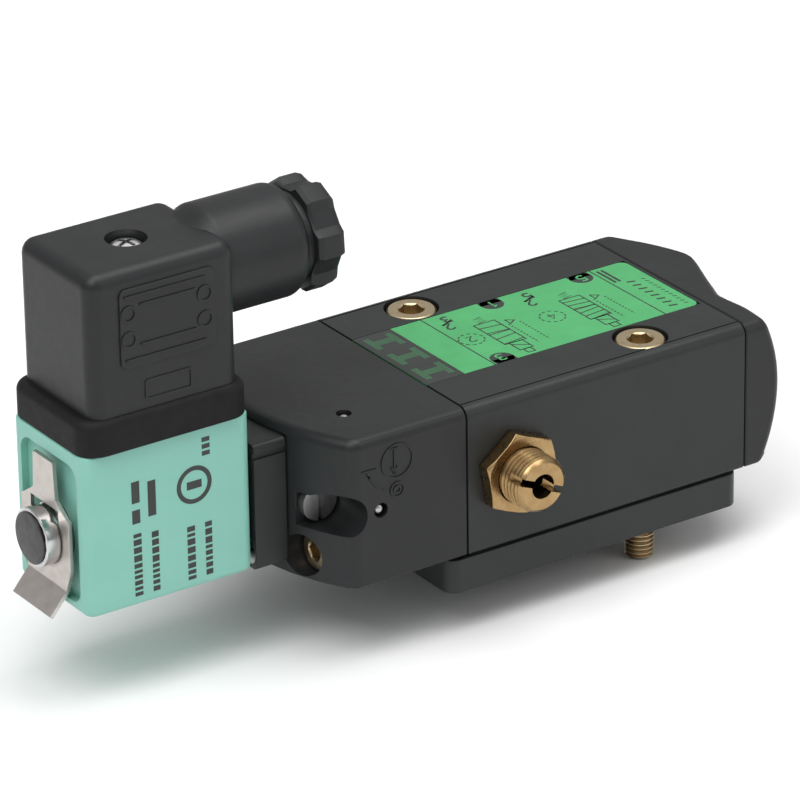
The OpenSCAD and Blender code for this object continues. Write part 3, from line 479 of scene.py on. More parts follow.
def rounded_rectangle(low, high, radii, steps=CORNER_STEPS):
    """Outline, anticlockwise from the low-low corner. radii go round the corners in that order."""
    spots = [(low[0], low[1], 180), (high[0], low[1], 270), (high[0], high[1], 0), (low[0], high[1], 90)]
    points = []
    for (x, y, start), radius in zip(spots, radii):
        if radius <= 0:
            points.append((x, y))
            continue
        inward_x = radius if x == low[0] else -radius
        inward_y = radius if y == low[1] else -radius
        points += arc((x + inward_x, y + inward_y), radius, start, start + 90, steps)
    return points


def regular(corner_radius, count):
    """Corners of a regular polygon."""
    return arc((0, 0), corner_radius, 0, 360 * (count - 1) / count, count - 1)


def moved(outline, by):
    """The outline moved by (u, v)."""
    return [(u + by[0], v + by[1]) for u, v in outline]


def neighbours(points, i, closed):
    """The points before and after one of them. At an open end the point itself stands in."""
    before = points[i - 1] if closed or i > 0 else points[i]
    after = points[(i + 1) % len(points)] if closed or i < len(points) - 1 else points[i]
    return before, after


def sidestep(here, before, after, distance, mitre):
    """Step to the left at a corner that moves both of its edges by the distance."""
    into = (here - before).normalized() if here != before else (after - here).normalized()
    out = (after - here).normalized() if here != after else into
    normal = Vector((-into.y - out.y, into.x + out.x))
    return normal * (distance / max(mitre, 1 + into.dot(out)))


def inset(outline, distance):
    """The anticlockwise outline moved inwards."""
    if distance <= 0:
        return outline
    points = [Vector(point) for point in outline]
    return [
        tuple(here + sidestep(here, *neighbours(points, i, True), distance, INSET_MITRE))
        for i, here in enumerate(points)
    ]


# Where an outline's (u, v) at height h lies. Heights along Y count towards the front
PLACE = {
    "x": lambda u, v, h: (h, u, v),
    "y": lambda u, v, h: (u, -h, v),
    "z": lambda u, v, h: (u, v, h),
}


def bridge(mesh, loops):
    """Faces between each two closed loops that follow each other. A loop of one point is a tip."""
    count = max(len(loop) for loop in loops)
    for lower, upper in zip(loops, loops[1:]):
        for i in range(count):
            j = (i + 1) % count
            if len(lower) == 1:
                mesh.faces.new((lower[0], upper[j], upper[i]))
            elif len(upper) == 1:
                mesh.faces.new((lower[i], lower[j], upper[0]))
            else:
                mesh.faces.new((lower[i], lower[j], upper[j], upper[i]))


def loft(rings, axis="z"):
    """A bmesh through outlines of the same length, each at its height, closed at both ends."""
    mesh = bmesh.new()
    place = PLACE[axis]
    loops = [[mesh.verts.new(place(u, v, height)) for u, v in outline] for outline, height in rings]
    bridge(mesh, loops)
    mesh.faces.new(list(reversed(loops[0])))
    mesh.faces.new(loops[-1])
    return mesh


def prism(outline, low, high, axis="z", round_low=0.0, round_high=0.0):
    """A bmesh of the outline between two heights, with rounded rims.

    The outline is (y, z) along x, (x, z) along y with heights counted towards -y, and (x, y) along z.
    """
    rings = []
    for i in range(ROUND_STEPS + 1 if round_low > 0 else 1):
        turn = math.pi / 2 * i / ROUND_STEPS
        rings.append((round_low * (1 - math.sin(turn)), low + round_low * (1 - math.cos(turn))))
    for i in range(ROUND_STEPS + 1 if round_high > 0 else 1):
        turn = math.pi / 2 * (1 - i / ROUND_STEPS)
        rings.append((round_high * (1 - math.sin(turn)), high - round_high * (1 - math.cos(turn))))
    return loft([(inset(outline, distance), height) for distance, height in rings], axis)


def cylinder(axis, centre, radius, low, high):
    """A bmesh cylinder; centre is given in the outline's own two directions."""
    return prism(moved(regular(radius, CYLINDER_SIDES), centre), low, high, axis)


def block(low, high):
    """A bmesh box between two corners."""
    return prism(rounded_rectangle(low[:2], high[:2], (0,) * 4), low[2], high[2])


def turned(profile, axis="z", centre=(0, 0), count=TURNED_SIDES):
    """A bmesh turned from (radius, height) points, from the low end's centre to the high end's."""
    mesh = bmesh.new()
    place = PLACE[axis]
    loops = []
    for radius, height in profile:
        ring = moved(regular(radius, count), centre) if radius > 0 else [centre]
        loops.append([mesh.verts.new(place(u, v, height)) for u, v in ring])
    bridge(mesh, loops)
    return mesh


def ribbon(path, width, low, high, axis, closed=False):
    """A line along (u, v) points, raised from height low to height high."""
    points = [Vector(point) for point in path]
    steps = [
        sidestep(here, *neighbours(points, i, closed), width / 2, LINE_MITRE)
        for i, here in enumerate(points)
    ]
    left = [here + step for here, step in zip(points, steps)]
    right = [here - step for here, step in zip(points, steps)]
    mesh = bmesh.new()
    place = PLACE[axis]
    rows = [
        [mesh.verts.new(place(u, v, height)) for u, v in side]
        for side, height in ((left, low), (left, high), (right, high), (right, low))
    ]
    count = len(path)
    for i in range(count if closed else count - 1):
        j = (i + 1) % count
        for row, following in zip(rows, rows[1:] + rows[:1]):
            mesh.faces.new((row[i], row[j], following[j], following[i]))
    if not closed:
        mesh.faces.new([row[0] for row in rows])
        mesh.faces.new([row[-1] for row in reversed(rows)])
    return mesh


def wire(path, radius):
    """A round wire along (x, y, z) points."""
    mesh = bmesh.new()
    points = [Vector(point) for point in path]
    turns = [2 * math.pi * k / WIRE_SIDES for k in range(WIRE_SIDES)]
    rings = []
    for i, here in enumerate(points):
        before, after = neighbours(points, i, False)
        along = (after - before).normalized()
        if rings:
            across = (across - along * across.dot(along)).normalized()
        else:
            across = along.orthogonal().normalized()
        other = along.cross(across)
        spots = [here + (across * math.cos(t) + other * math.sin(t)) * radius for t in turns]
        rings.append([mesh.verts.new(spot) for spot in spots])
    bridge(mesh, rings)
    mesh.faces.new(list(reversed(rings[0])))
    mesh.faces.new(rings[-1])
    return mesh


def joined(meshes):
    """Several bmeshes as one."""
    whole = bmesh.new()
    for mesh in meshes:
        part = bpy.data.meshes.new("part")
        mesh.to_mesh(part)
        mesh.free()
        whole.from_mesh(part)
        bpy.data.meshes.remove(part)
    return whole


def loose_object(name, mesh):
    """An object made from a bmesh in millimetres, with its faces turned outwards."""
    bmesh.ops.recalc_face_normals(mesh, faces=mesh.faces)
    data = bpy.data.meshes.new(name)
    mesh.to_mesh(data)
    mesh.free()
    made = bpy.data.objects.new(name, data)
    bpy.context.scene.collection.objects.link(made)
    return made


def apply_modifiers(made):
    """Turns what the object's modifiers make of it into its mesh."""
    bpy.context.view_layer.update()
    done = bpy.data.meshes.new_from_object(made.evaluated_get(bpy.context.evaluated_depsgraph_get()))
    made.modifiers.clear()
    made.data = done


def combine(made, mesh, operation):
    """Joins a bmesh to the object, cuts it away, or keeps what both share."""
    other = loose_object("other", mesh)
    step = made.modifiers.new("combine", "BOOLEAN")
    step.operation = operation
    step.solver = "MANIFOLD"
    step.object = other
    apply_modifiers(made)
    bpy.data.objects.remove(other)


def cut_from(made, cutters):
    """Takes each cutter bmesh away from the object."""
    for mesh in cutters:
        combine(made, mesh, "DIFFERENCE")


def cad_mesh(node):
    """A bmesh copy of a CAD node in millimetres, with its flat faces in one piece."""
    mesh = bmesh.new()
    mesh.from_mesh(frame["nodes"][node].data)
    bmesh.ops.scale(mesh, vec=(1 / MM,) * 3, verts=mesh.verts)
    bmesh.ops.remove_doubles(mesh, verts=mesh.verts, dist=CAD_WELD)
    bmesh.ops.dissolve_limit(mesh, angle_limit=CAD_FLAT, verts=mesh.verts, edges=mesh.edges)
    return mesh


def keep_within(made, node):
    """Keeps only what lies inside a CAD node, so that all its openings are taken over."""
    combine(made, cad_mesh(node), "INTERSECT")


def soften(made, width, segments=2, limit=35):
    """Rounds every edge that is sharper than the limit, in degrees, by width in millimetres."""
    merged = bmesh.new()
    merged.from_mesh(made.data)
    bmesh.ops.remove_doubles(merged, verts=merged.verts, dist=WELD)
    bmesh.ops.dissolve_limit(merged, angle_limit=ROUNDING_FLAT, verts=merged.verts, edges=merged.edges)
    merged.to_mesh(made.data)
    merged.free()
    bevel = made.modifiers.new("soften", "BEVEL")
    bevel.width = width
    bevel.segments = segments
    bevel.limit_method = "ANGLE"
    bevel.angle_limit = math.radians(limit)
    bevel.use_clamp_overlap = True
    bevel.miter_outer = "MITER_ARC"
    apply_modifiers(made)


def finish_piece(made, node, material=None, in_place=True):
    """Turns the object's millimetres into metres, shades it, and hangs it under the empty of its node's body.

    It takes the material of the node's slot unless another is given. It also hides the node, taking its
    place, unless it only adds to it.
    takes the node's place, unless it only adds to it.
    """
    made.data.transform(Matrix.Scale(MM, 4))
    shade = bmesh.new()
    shade.from_mesh(made.data)
    bmesh.ops.remove_doubles(shade, verts=shade.verts, dist=WELD * MM)
    bmesh.ops.dissolve_degenerate(shade, dist=WELD * MM, edges=shade.edges)
    for face in shade.faces:
        face.smooth = True
    for edge in shade.edges:
        edge.smooth = len(edge.link_faces) == 2 and edge.calc_face_angle() < SMOOTH_LIMIT
    shade.to_mesh(made.data)
    shade.free()
    made.data.materials.clear()
    made.data.materials.append(material or MATERIALS[SLOT_OF[node]])
    even = made.modifiers.new("even_normals", "WEIGHTED_NORMAL")
    even.keep_sharp = True
    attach(made, BODY_OF[node])
    if in_place:
        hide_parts(node)
    return made


def detail(name, mesh, node, material=None):
    """A small extra piece that rides with a CAD node."""
    return finish_piece(loose_object(name, mesh), node, material, in_place=False)


def refined(node, width, cutters=(), material=None):
    """A copy of a CAD node whose sharp edges are rounded, in its place."""
    made = loose_object(node + "_finish", cad_mesh(node))
    cut_from(made, cutters)
    soften(made, width)
    return finish_piece(made, node, material)


# ---- Valve body, head and end cap ----

# How far a rebuilt shell stays inside its CAD node
SKIN = 0.03

EDGE_GROOVE_Y = 20.4
EDGE_GROOVE_W = 0.3
EDGE_GROOVE_DEPTH = 0.22


def make_body():
    """The die-cast body, with a fine groove along both long edges of its top."""
    low, high = corners("valve_body")
    grooves = [
        block(
            (low.x - 1, side * EDGE_GROOVE_Y - EDGE_GROOVE_W / 2, high.z - EDGE_GROOVE_DEPTH),
            (high.x + 1, side * EDGE_GROOVE_Y + EDGE_GROOVE_W / 2, high.z + 1),
        )
        for side in (-1, 1)
    ]
    refined("valve_body", 0.12, grooves)


HEAD_END_R = 41
HEAD_CORNER_R = 3
HEAD_TOP_ROUND = 1.9
HEAD_BOTTOM_ROUND = 0.35
MARK_WIDTH = 0.3
MARK_HEIGHT = 0.18
# Signs beside the manual operator, as (x, z) points and whether they close: an arrow in a ring, a small
# double ring, and a curled arrow
ARROW_AT = (-41.0, 27.4)
RINGS_AT = (-41.05, 22.3)
OPERATOR_MARKS = [
    (moved(regular(2.95, 48), ARROW_AT), True),
    ([(-42.2, 29.7), (-40.9, 29.7)], False),
    ([(-41.55, 29.7), (-41.55, 25.4)], False),
    ([(-42.15, 26.5), (-41.55, 25.3), (-40.95, 26.5)], False),
    (moved(regular(1.25, 28), RINGS_AT), True),
    (moved(regular(0.6, 20), RINGS_AT), True),
    ([(-45.0, 27.0), (-47.7, 27.1), (-46.3, 25.7)], False),
    ([(-46.9, 26.5), (-46.2, 25.4), (-45.1, 23.9), (-44.2, 23.1), (-43.4, 22.6)], False),
]


def head_outline(low, high):
    """Plan of the head: an arc end with rounded corners. It runs a little past the joint face."""
    half = high.y
    centre_x = low.x + HEAD_END_R
    corner_y = half - HEAD_CORNER_R
    corner_x = centre_x - math.sqrt((HEAD_END_R - HEAD_CORNER_R) ** 2 - corner_y ** 2)
    turn = math.degrees(math.atan2(corner_y, corner_x - centre_x))
    past = high.x + 2 * HEAD_TOP_ROUND
    points = [(past, -half), (past, half)]
    points += arc((corner_x, corner_y), HEAD_CORNER_R, 90, turn, 10)
    points += arc((centre_x, 0), HEAD_END_R, turn, 360 - turn, 44)[1:-1]
    points += arc((corner_x, -corner_y), HEAD_CORNER_R, 360 - turn, 270, 10)
    return points


def make_head():
    """The pilot head with its rounded rim, and the raised signs on its front."""
    low, high = corners("pilot_head")
    outline = inset(head_outline(low, high), SKIN)
    shell = prism(outline, low.z + SKIN, high.z - SKIN, "z", HEAD_BOTTOM_ROUND, HEAD_TOP_ROUND)
    made = loose_object("pilot_head_shell", shell)
    keep_within(made, "pilot_head")
    soften(made, 0.22, limit=40)
    finish_piece(made, "pilot_head")
    face = -low.y - SKIN
    marks = [
        ribbon(path, MARK_WIDTH, face - MARK_HEIGHT, face + MARK_HEIGHT, "y", closed)
        for path, closed in OPERATOR_MARKS
    ]
    detail("operator_marks", joined(marks), "pilot_head")


# Crest of the cap seen from above, from its back corner to its front, as (y, x)
CAP_CREST = [
    (-22.5, 33.3), (-16.2, 33.9), (-11.5, 33.5), (-8.7, 33.5), (-5, 34.9), (-1.4, 36.4), (2, 37.9),
    (4.7, 39.0), (6.6, 39.5), (8.9, 39.2), (14.5, 37.0), (20.6, 33.6), (22.5, 32.9),
]
# Height over which the crest turns into its mirror image
CAP_TWIST = 15
# Bulge at half height where the crest is low, and the crest's X and further rise in which it fades
CAP_BULGE = 3.2
CAP_BULGE_FROM = 33.5
CAP_BULGE_FADE = 6
CAP_CORNERS = (0.6, 0.6, 2, 2)
CAP_ROUND = 1.3
CAP_EDGE = 0.2
CAP_STEP = 0.9
CAP_ROUND_STEPS = 6
CAP_FACE_STEPS = 26
SPRING_ROOM_R = 5.8
SPRING_ROOM_L = 5
SPRING_SEAT_R = 3.6
CAP_SCREW_Y = 14.5
CAP_SCREW_Z = 7.6
CAP_SCREW_HOLE_R = 2.2
CAP_SCREW_HEAD_R = 3.7
CAP_SCREW_HEAD_L = 4


def smooth_step(value):
    """0 to 1 with a soft start and end."""
    value = min(1.0, max(0.0, value))
    return value * value * (3 - 2 * value)


def through(knots, at):
    """A smooth curve through (place, value) knots."""
    places = [place for place, _ in knots]
    values = [value for _, value in knots]
    at = min(max(at, places[0]), places[-1])
    i = max(0, min(len(places) - 2, bisect.bisect_right(places, at) - 1))
    slopes = []
    for k in (i, i + 1):
        before, after = max(0, k - 1), min(len(places) - 1, k + 1)
        slopes.append((values[after] - values[before]) / (places[after] - places[before]))
    span = places[i + 1] - places[i]
    t = (at - places[i]) / span
    return (
        (2 * t ** 3 - 3 * t ** 2 + 1) * values[i] + (t ** 3 - 2 * t ** 2 + t) * span * slopes[0]
        + (3 * t ** 2 - 2 * t ** 3) * values[i + 1] + (t ** 3 - t ** 2) * span * slopes[1]
    )


def cap_face(y, z, middle, half_height):
    """How far out the cap's face is: its crest on top, the same turned over below, and a bulge between."""
    upper = smooth_step((z - middle) / CAP_TWIST + 0.5)
    crest = upper * through(CAP_CREST, y) + (1 - upper) * through(CAP_CREST, -y)
    beside = 1 - smooth_step((crest - CAP_BULGE_FROM) / CAP_BULGE_FADE)
    return crest + CAP_BULGE * (1 - ((z - middle) / half_height) ** 2) * beside


def make_end_cap():
    """The cap's sculpted face, as rings that shrink from the body's outline to its middle."""
    low, high = corners("end_cap")
    middle, half_height = (low.z + high.z) / 2, (high.z - low.z) / 2
    outline = rounded_rectangle((low.y, low.z), (high.y, high.z), CAP_CORNERS, 6)
    dense = []
    for i, point in enumerate(outline):
        here, following = Vector(point), Vector(outline[(i + 1) % len(outline)])
        steps = max(1, round((following - here).length / CAP_STEP))
        dense += [tuple(here.lerp(following, k / steps)) for k in range(steps)]
    mesh = bmesh.new()

    def on_face(ring, drop=0.0):
        return [mesh.verts.new((cap_face(y, z, middle, half_height) - drop, y, z)) for y, z in ring]

    loops = [[mesh.verts.new((low.x, y, z)) for y, z in inset(dense, CAP_EDGE)]]
    loops.append([mesh.verts.new((low.x + CAP_EDGE, y, z)) for y, z in dense])
    for k in range(CAP_ROUND_STEPS + 1):
        distance = CAP_ROUND * (1 - math.cos(math.pi / 2 * k / CAP_ROUND_STEPS))
        drop = CAP_ROUND - math.sqrt(max(0, CAP_ROUND ** 2 - (CAP_ROUND - distance) ** 2))
        loops.append(on_face(inset(dense, distance), drop))
    last = inset(dense, CAP_ROUND)
    for k in range(1, CAP_FACE_STEPS):
        share = 1 - k / CAP_FACE_STEPS
        loops.append(on_face([(y * share, middle + (z - middle) * share) for y, z in last]))
    bridge(mesh, loops + [on_face([(0, middle)])])
    mesh.faces.new(list(reversed(loops[0])))

    made = loose_object("end_cap_shell", mesh)
    bore_z = middle_of("return_spring")[2]
    seat_x = corners("return_spring")[1].x
    head_x = corners("end_cap_screws")[1].x
    cutters = [
        cylinder("x", (0, bore_z), SPRING_ROOM_R, low.x - 1, corners("spool")[1].x + SPRING_ROOM_L),
        cylinder("x", (0, bore_z), SPRING_SEAT_R, low.x - 1, seat_x),
    ]
    for side in (-1, 1):
        spot = (side * CAP_SCREW_Y, bore_z - side * CAP_SCREW_Z)
        cutters.append(cylinder("x", spot, CAP_SCREW_HOLE_R, low.x - 1, high.x + 2))
        cutters.append(cylinder("x", spot, CAP_SCREW_HEAD_R, head_x - CAP_SCREW_HEAD_L, high.x + 2))
    cut_from(made, cutters)
    finish_piece(made, "end_cap")


# ---- Label ----

LABEL_HALF_W = 10.9
LABEL_CORNERS = (0, 1.4, 1.4, 0)
FILM_T = 0.2
INK_T = 0.012
INK_SINK = 0.05
SCREW_SPOTS = [(-12, 16), (12, -16)]
SCREW_WINDOW_R = 5

THIN_LINE = 0.26
NUMBER_LINE = 0.34
BOLD_LINE = 0.42
HEAVY_LINE = 0.5

DIGITS = {
    "1": [(0.1, 0.75), (0.35, 1), (0.35, 0)],
    "2": [(0, 0.82), (0.12, 0.96), (0.3, 1), (0.5, 0.94), (0.6, 0.75), (0.5, 0.5), (0, 0), (0.62, 0)],
    "3": [
        (0, 0.9), (0.28, 1), (0.55, 0.9), (0.55, 0.65), (0.25, 0.53),
        (0.58, 0.4), (0.58, 0.12), (0.3, 0), (0, 0.1),
    ],
    "4": [(0.45, 0), (0.45, 1), (0, 0.3), (0.62, 0.3)],
    "5": [(0.56, 1), (0.08, 1), (0.04, 0.56), (0.35, 0.64), (0.58, 0.46), (0.58, 0.16), (0.3, 0), (0, 0.1)],
}
DIGIT_H = 2.2
SMALL_DIGIT_H = 2

# Width of a symbol, and where along Y its boxes and its solenoid end
SYMBOL_W = 4.2
SYMBOL_TOP = 3.8
SYMBOL_MIDDLE = -0.8
SYMBOL_BOTTOM = -5.4
SYMBOL_END = -8.6
# X of each symbol, and how many ways its boxes show
SYMBOLS = [(-7.8, 2), (9.6, 3)]
# Digit and centre of each dashed ring
DASHED_RINGS = [("2", -11.1, -0.4), ("4", 5.1, -0.7)]
DASHED_RING_R = 2.2
# Upper digit and its X of each fraction over 2
FRACTIONS = [("3", -10.0), ("5", 6.6)]
RULES_X = (-13.6, 20.95)

# The band under the hatched figures ends at this X
BAND_END = -19.7
FIGURES_Y = (7.3, 0.2, -6.9)
FIGURE_X = -25.9
FIGURE_ROWS = 14
FIGURE_ROW_STEP = 0.4
FIGURE_FOOT_ROWS = 3
FIGURE_HALF_W = 0.9
FIGURE_FOOT_HALF_W = 2.4
HATCH_LINE = 0.2

# Digit, X, centre's Y and digit's Y of each dark tab at the label's edge
TABS = [("3", -11.2, -9.4, -9.0), ("1", -0.2, 9.4, 9.2), ("5", 18.2, 9.4, 9.2)]
TAB_R = 2.1


def digit(name, x, y, size):
    """Stroke of a digit centred on a point. The label is read from the back, so it is turned half round."""
    return [(x - (u - 0.3) * size, y - (v - 0.5) * size) for u, v in DIGITS[name]]


def dashes(start, end, length=0.45, gap=0.4):
    """Short lines along the way from start to end."""
    start, end = Vector(start), Vector(end)
    run = (end - start).length
    along = (end - start) / run
    return [
        (start + along * place, start + along * min(run, place + length))
        for place in (k * (length + gap) for k in range(int(run / (length + gap)) + 1))
    ]


def dashed_circle(x, y, radius, count=12):
    """Short arcs round a point, with gaps between them."""
    return [
        moved(arc((0, 0), radius, 360 * k / count, 360 * (k + 0.6) / count, 3), (x, y))
        for k in range(count)
    ]


def repeated(line, step, count):
    """Copies of a line, each a step further than the one before."""
    return [moved(line, (step[0] * k, step[1] * k)) for k in range(count)]


def valve_symbol(x, ways):
    """Strokes of a spool valve's schematic: spring, two position boxes and a pilot solenoid."""
    top, middle, bottom, end = SYMBOL_TOP, SYMBOL_MIDDLE, SYMBOL_BOTTOM, SYMBOL_END
    right = x + SYMBOL_W
    lines = [
        [(x, top), (right, top), (right, bottom), (x, bottom), (x, top)],
        [(x, middle), (right, middle)],
        [(x + 0.8, bottom), (right - 0.8, bottom), (right - 0.8, end), (x + 0.8, end), (x + 0.8, bottom)],
        [(x + 0.8, bottom - 0.6), (right - 0.8, end + 0.9)],
        [(x + 1.4, end), (right - 1.4, end), (right - 1.4, end - 1.5), (x + 1.4, end - 1.5), (x + 1.4, end)],
        [(x + SYMBOL_W / 2 + (0.9 if k % 2 else -0.9), top + 0.25 + 0.42 * k) for k in range(6)],
        [(x + 5.6, top - 1), (x + 6.9, top - 1.9), (x + 5.6, top - 2.8), (x + 5.6, top - 1)],
    ]
    for k in range(ways):
        y = top - (k + 0.7) * (top - middle) / ways
        lines.append([(x, y), (right, y - 0.5)])
        lines.append([(right, y + middle - top), (x, y + middle - top - 0.5)])
    for place in (x + 5.2, x + 7.4):
        lines += dashes((place, 1), (place, -7.6))
    return lines


def printed(paths, width, low, high):
    """Lines of print on the label."""
    return [ribbon(path, width, low, high, "z") for path in paths]


def make_label():
    """The green film with its dark print, and the green digits and hatched figures on the dark parts."""
    low, high = corners("label_plate")
    outline = rounded_rectangle((low.x, -LABEL_HALF_W), (high.x, LABEL_HALF_W), LABEL_CORNERS)
    base = high.z - FILM_T
    film = loose_object("label_film", prism(outline, base, high.z))
    cut_from(film, [cylinder("z", spot, SCREW_WINDOW_R, base - 1, high.z + 1) for spot in SCREW_SPOTS])
    finish_piece(film, "label_plate")

    paper, ink = high.z - INK_SINK, high.z + INK_T
    dark = [block((low.x, -LABEL_HALF_W, paper), (BAND_END, LABEL_HALF_W, ink))]
    for _, x, y, _ in TABS:
        edge = math.copysign(LABEL_HALF_W, y)
        dark.append(cylinder("z", (x, y), TAB_R, paper, ink))
        dark.append(block((x - TAB_R, min(y, edge), paper), (x + TAB_R, max(y, edge), ink)))

    thin = [[(x, -LABEL_HALF_W), (x, LABEL_HALF_W)] for x in RULES_X]
    for name, x, y in DASHED_RINGS:
        thin += [digit(name, x, y, SMALL_DIGIT_H)] + dashed_circle(x, y, DASHED_RING_R)
    for x, ways in SYMBOLS:
        thin += valve_symbol(x, ways)
    thin += repeated([(26.3, 3.2), (26.9, 2.8)], (0, -1.1), 12)
    bold = []
    for name, x in FRACTIONS:
        bold += [digit(name, x, 8.6, DIGIT_H), digit("2", x - 1.2, 5.9, DIGIT_H)]
        bold.append([(x - 1.9, 6.8), (x + 0.7, 8.1)])
    heavy = repeated([(21.9, 10), (21.9, 4.4)], (0.9, 0), 2)
    heavy += repeated([(23.4, 3.4), (24.9, 3.0)], (0, -1.7), 8)
    for paths, width in ((thin, THIN_LINE), (heavy, HEAVY_LINE), (bold, BOLD_LINE)):
        dark += printed(paths, width, paper, ink)
    detail("label_print", joined(dark), "label_plate", MATERIALS["ink_black"])

    above = ink + INK_T
    numbers = printed([digit(name, x, y, DIGIT_H) for name, x, _, y in TABS], NUMBER_LINE, paper, above)
    detail("label_numbers", joined(numbers), "label_plate")
    hatching = []
    for y in FIGURES_Y:
        for row in range(FIGURE_ROWS):
            x = FIGURE_X + FIGURE_ROW_STEP * row
            foot = min(row, FIGURE_ROWS - 1 - row) < FIGURE_FOOT_ROWS
            reach = FIGURE_FOOT_HALF_W if foot else FIGURE_HALF_W
            hatching.append([(x, y - reach), (x, y + reach)])
    hatching = printed(hatching, HATCH_LINE, paper, above)
    detail("label_hatching", joined(hatching), "label_plate", MATERIALS["hatch_green"])


# ---- Solenoid ----

COIL_CORNER_R = 1.8
COIL_ROUND = 1.0
COIL_TOP_ROUND = 0.4
RECESS_MARGIN = 2.5
RECESS_FOOT_MARGIN = 1.6
RECESS_ROUND = 2.6
RECESS_DEPTH = 1.35
CORE_HOLE_R = 5.08

PRINT_T = 0.015
PRINT_SINK = 0.05
PRINT_SEED = 4
# X, width and top of each column of printed blocks, and the height where all of them start
PRINT_COLUMNS = [(-83.8, 1.5, 21.5), (-80.4, 1.3, 21.5), (-73.8, 1.5, 20.2), (-70.4, 1.3, 20.2)]
PRINT_FOOT = 10.8
PRINT_GAP = 0.35
PRINT_RING_AT = (-72.2, 27.4)
# Single blocks, as (x, z) of two corners: three bars, the bar in the ring, and three short ones at the top
PRINT_BARS = [
    ((-83.9, 23.6), (-82.4, 26.0)), ((-83.9, 27.2), (-82.4, 31.0)), ((-80.9, 24.2), (-79.4, 30.4)),
    ((-73.6, 26.7), (-70.8, 28.1)),
    ((-70.6, 32.0), (-69.1, 32.8)), ((-70.6, 33.2), (-69.1, 34.0)), ((-70.6, 34.4), (-69.1, 35.2)),
]

CORE_FACE_R = 4.4
CORE_FACE_CHAMFER = 0.4
CORE_FACE_SHIFT = 0.02


def coil_block(low, high):
    """The coil's outside, all in one."""
    outline = rounded_rectangle((low.x, low.y), (high.x, high.y), (COIL_CORNER_R,) * 4)
    return prism(inset(outline, SKIN), low.z + SKIN, high.z - SKIN, "z", COIL_ROUND, COIL_TOP_ROUND)


def make_coil():
    """The coil, with a window-like recess in its outer end in place of the CAD node's round one."""
    low, high = corners("coil")
    made = loose_object("coil_shell", coil_block(low, high))
    keep_within(made, "coil")
    end_plate = loose_object("end_plate", coil_block(low, high))
    reach = block((low.x - 1, low.y - 1, low.z + 1), (low.x + 1, high.y + 1, high.z - 1))
    combine(end_plate, reach, "INTERSECT")
    plate = bmesh.new()
    plate.from_mesh(end_plate.data)
    bpy.data.objects.remove(end_plate)
    combine(made, plate, "UNION")
    window_low = (low.y + RECESS_MARGIN, low.z + RECESS_FOOT_MARGIN)
    window_high = (high.y - RECESS_MARGIN, high.z - RECESS_MARGIN)
    window = rounded_rectangle(window_low, window_high, (RECESS_ROUND,) * 4)
    cut_from(made, [
        prism(window, low.x - 1, low.x + RECESS_DEPTH, "x"),
        cylinder("x", (0, middle_of("core_tube")[2]), CORE_HOLE_R, low.x - 1, low.x + 2),
    ])
    soften(made, 0.2, limit=40)
    finish_piece(made, "coil")
    add_coil_print(low)


def add_coil_print(low):
    """Generic printed blocks where the coil carries its data, read from bottom to top."""
    face = -low.y - SKIN
    base, top = face - PRINT_SINK, face + PRINT_T
    generator = random.Random(PRINT_SEED)
    bars = []
    for x, width, column_top in PRINT_COLUMNS:
        z = PRINT_FOOT
        while z < column_top:
            length = 0.5 + 0.7 * generator.random()
            bars.append(((x, z), (x + width, z + length)))
            z += length + PRINT_GAP
    marks = [prism(rounded_rectangle(*bar, (0,) * 4), base, top, "y") for bar in bars + PRINT_BARS]
    marks.append(ribbon(moved(regular(2.9, 36), PRINT_RING_AT), 0.8, base, top, "y", True))
    detail("coil_print", joined(marks), "coil", MATERIALS["ink_black"])


def make_core_end():
    """The dark end face of the fixed core, flush with its bright rim."""
    low = corners("fixed_core")[0]
    rim_r = CORE_FACE_R - CORE_FACE_CHAMFER
    front = -CORE_FACE_SHIFT
    profile = [(0, front), (rim_r, front), (CORE_FACE_R, 0.1), (CORE_FACE_R, 0.35), (0, 0.35)]
    face = turned(profile, "x", (0, middle_of("fixed_core")[2]))
    bmesh.ops.translate(face, vec=(low.x + CORE_FACE_SHIFT, 0, 0), verts=face.verts)
    detail("core_face", face, "fixed_core", MATERIALS["dark_face"])


# ---- Connector ----

GASKET_CORNER_R = 4
GASKET_TOP_ROUND = 1.5
GASKET_FOOT_ROUND = 0.3

HOUSING_WALL = 1.8
HOUSING_TOP_ROUND = 2.5
HOUSING_CORNER_R = 2.6
HOUSING_ROOM_CORNER_R = 1
INSERT_PLAY = 0.1
# Height of the box's top over the barrel's axis, and how far below it the shoulder starts
BOX_RISE = 7.3
SHOULDER_DROP = 0.05
SHOULDER_L = 4.5
SHOULDER_STEPS = 12
BARREL_RIM = 2.4
CABLE_BORE_R = 5
GLAND_BORE_R = 7
SCREW_TOWER_R = 4
SCREW_BORE_R = 1.6
SCREW_SINK_R = 3.45
SCREW_SINK_DEPTH = 3.6

# The raised panel, its lines as (x, x, z), its four dots' places, and the blank window under it
PANEL_LOW = (-85.0, 50.8)
PANEL_HIGH = (-67.4, 64.4)
PANEL_T = 0.34
PANEL_LINES = [(-84.2, -69.3, 63.1), (-81.4, -71.1, 61.4), (-81.4, -71.1, 54.6), (-84.2, -69.3, 52.3)]
PANEL_DOTS = [(x, z) for x in (-83.5, -69.4) for z in (60.2, 55.8)]
PANEL_DOT_R = 1.25
PANEL_LINE = 0.34
PANEL_LINE_T = 0.2
WINDOW_LOW = (-80.5, 44.7)
WINDOW_HIGH = (-72.1, 47.9)
WINDOW_LINE = 0.4
WINDOW_LINE_T = 0.16

SCREW_DOME = 0.9
SCREW_SEAT_DEPTH = 2.1
SCREW_SHANK_R = 1.5
CROSS_L = 1.75
CROSS_W = 0.36
CROSS_TURN = math.radians(20)

LOBE_COUNT = 6
LOBE_TURN = 56
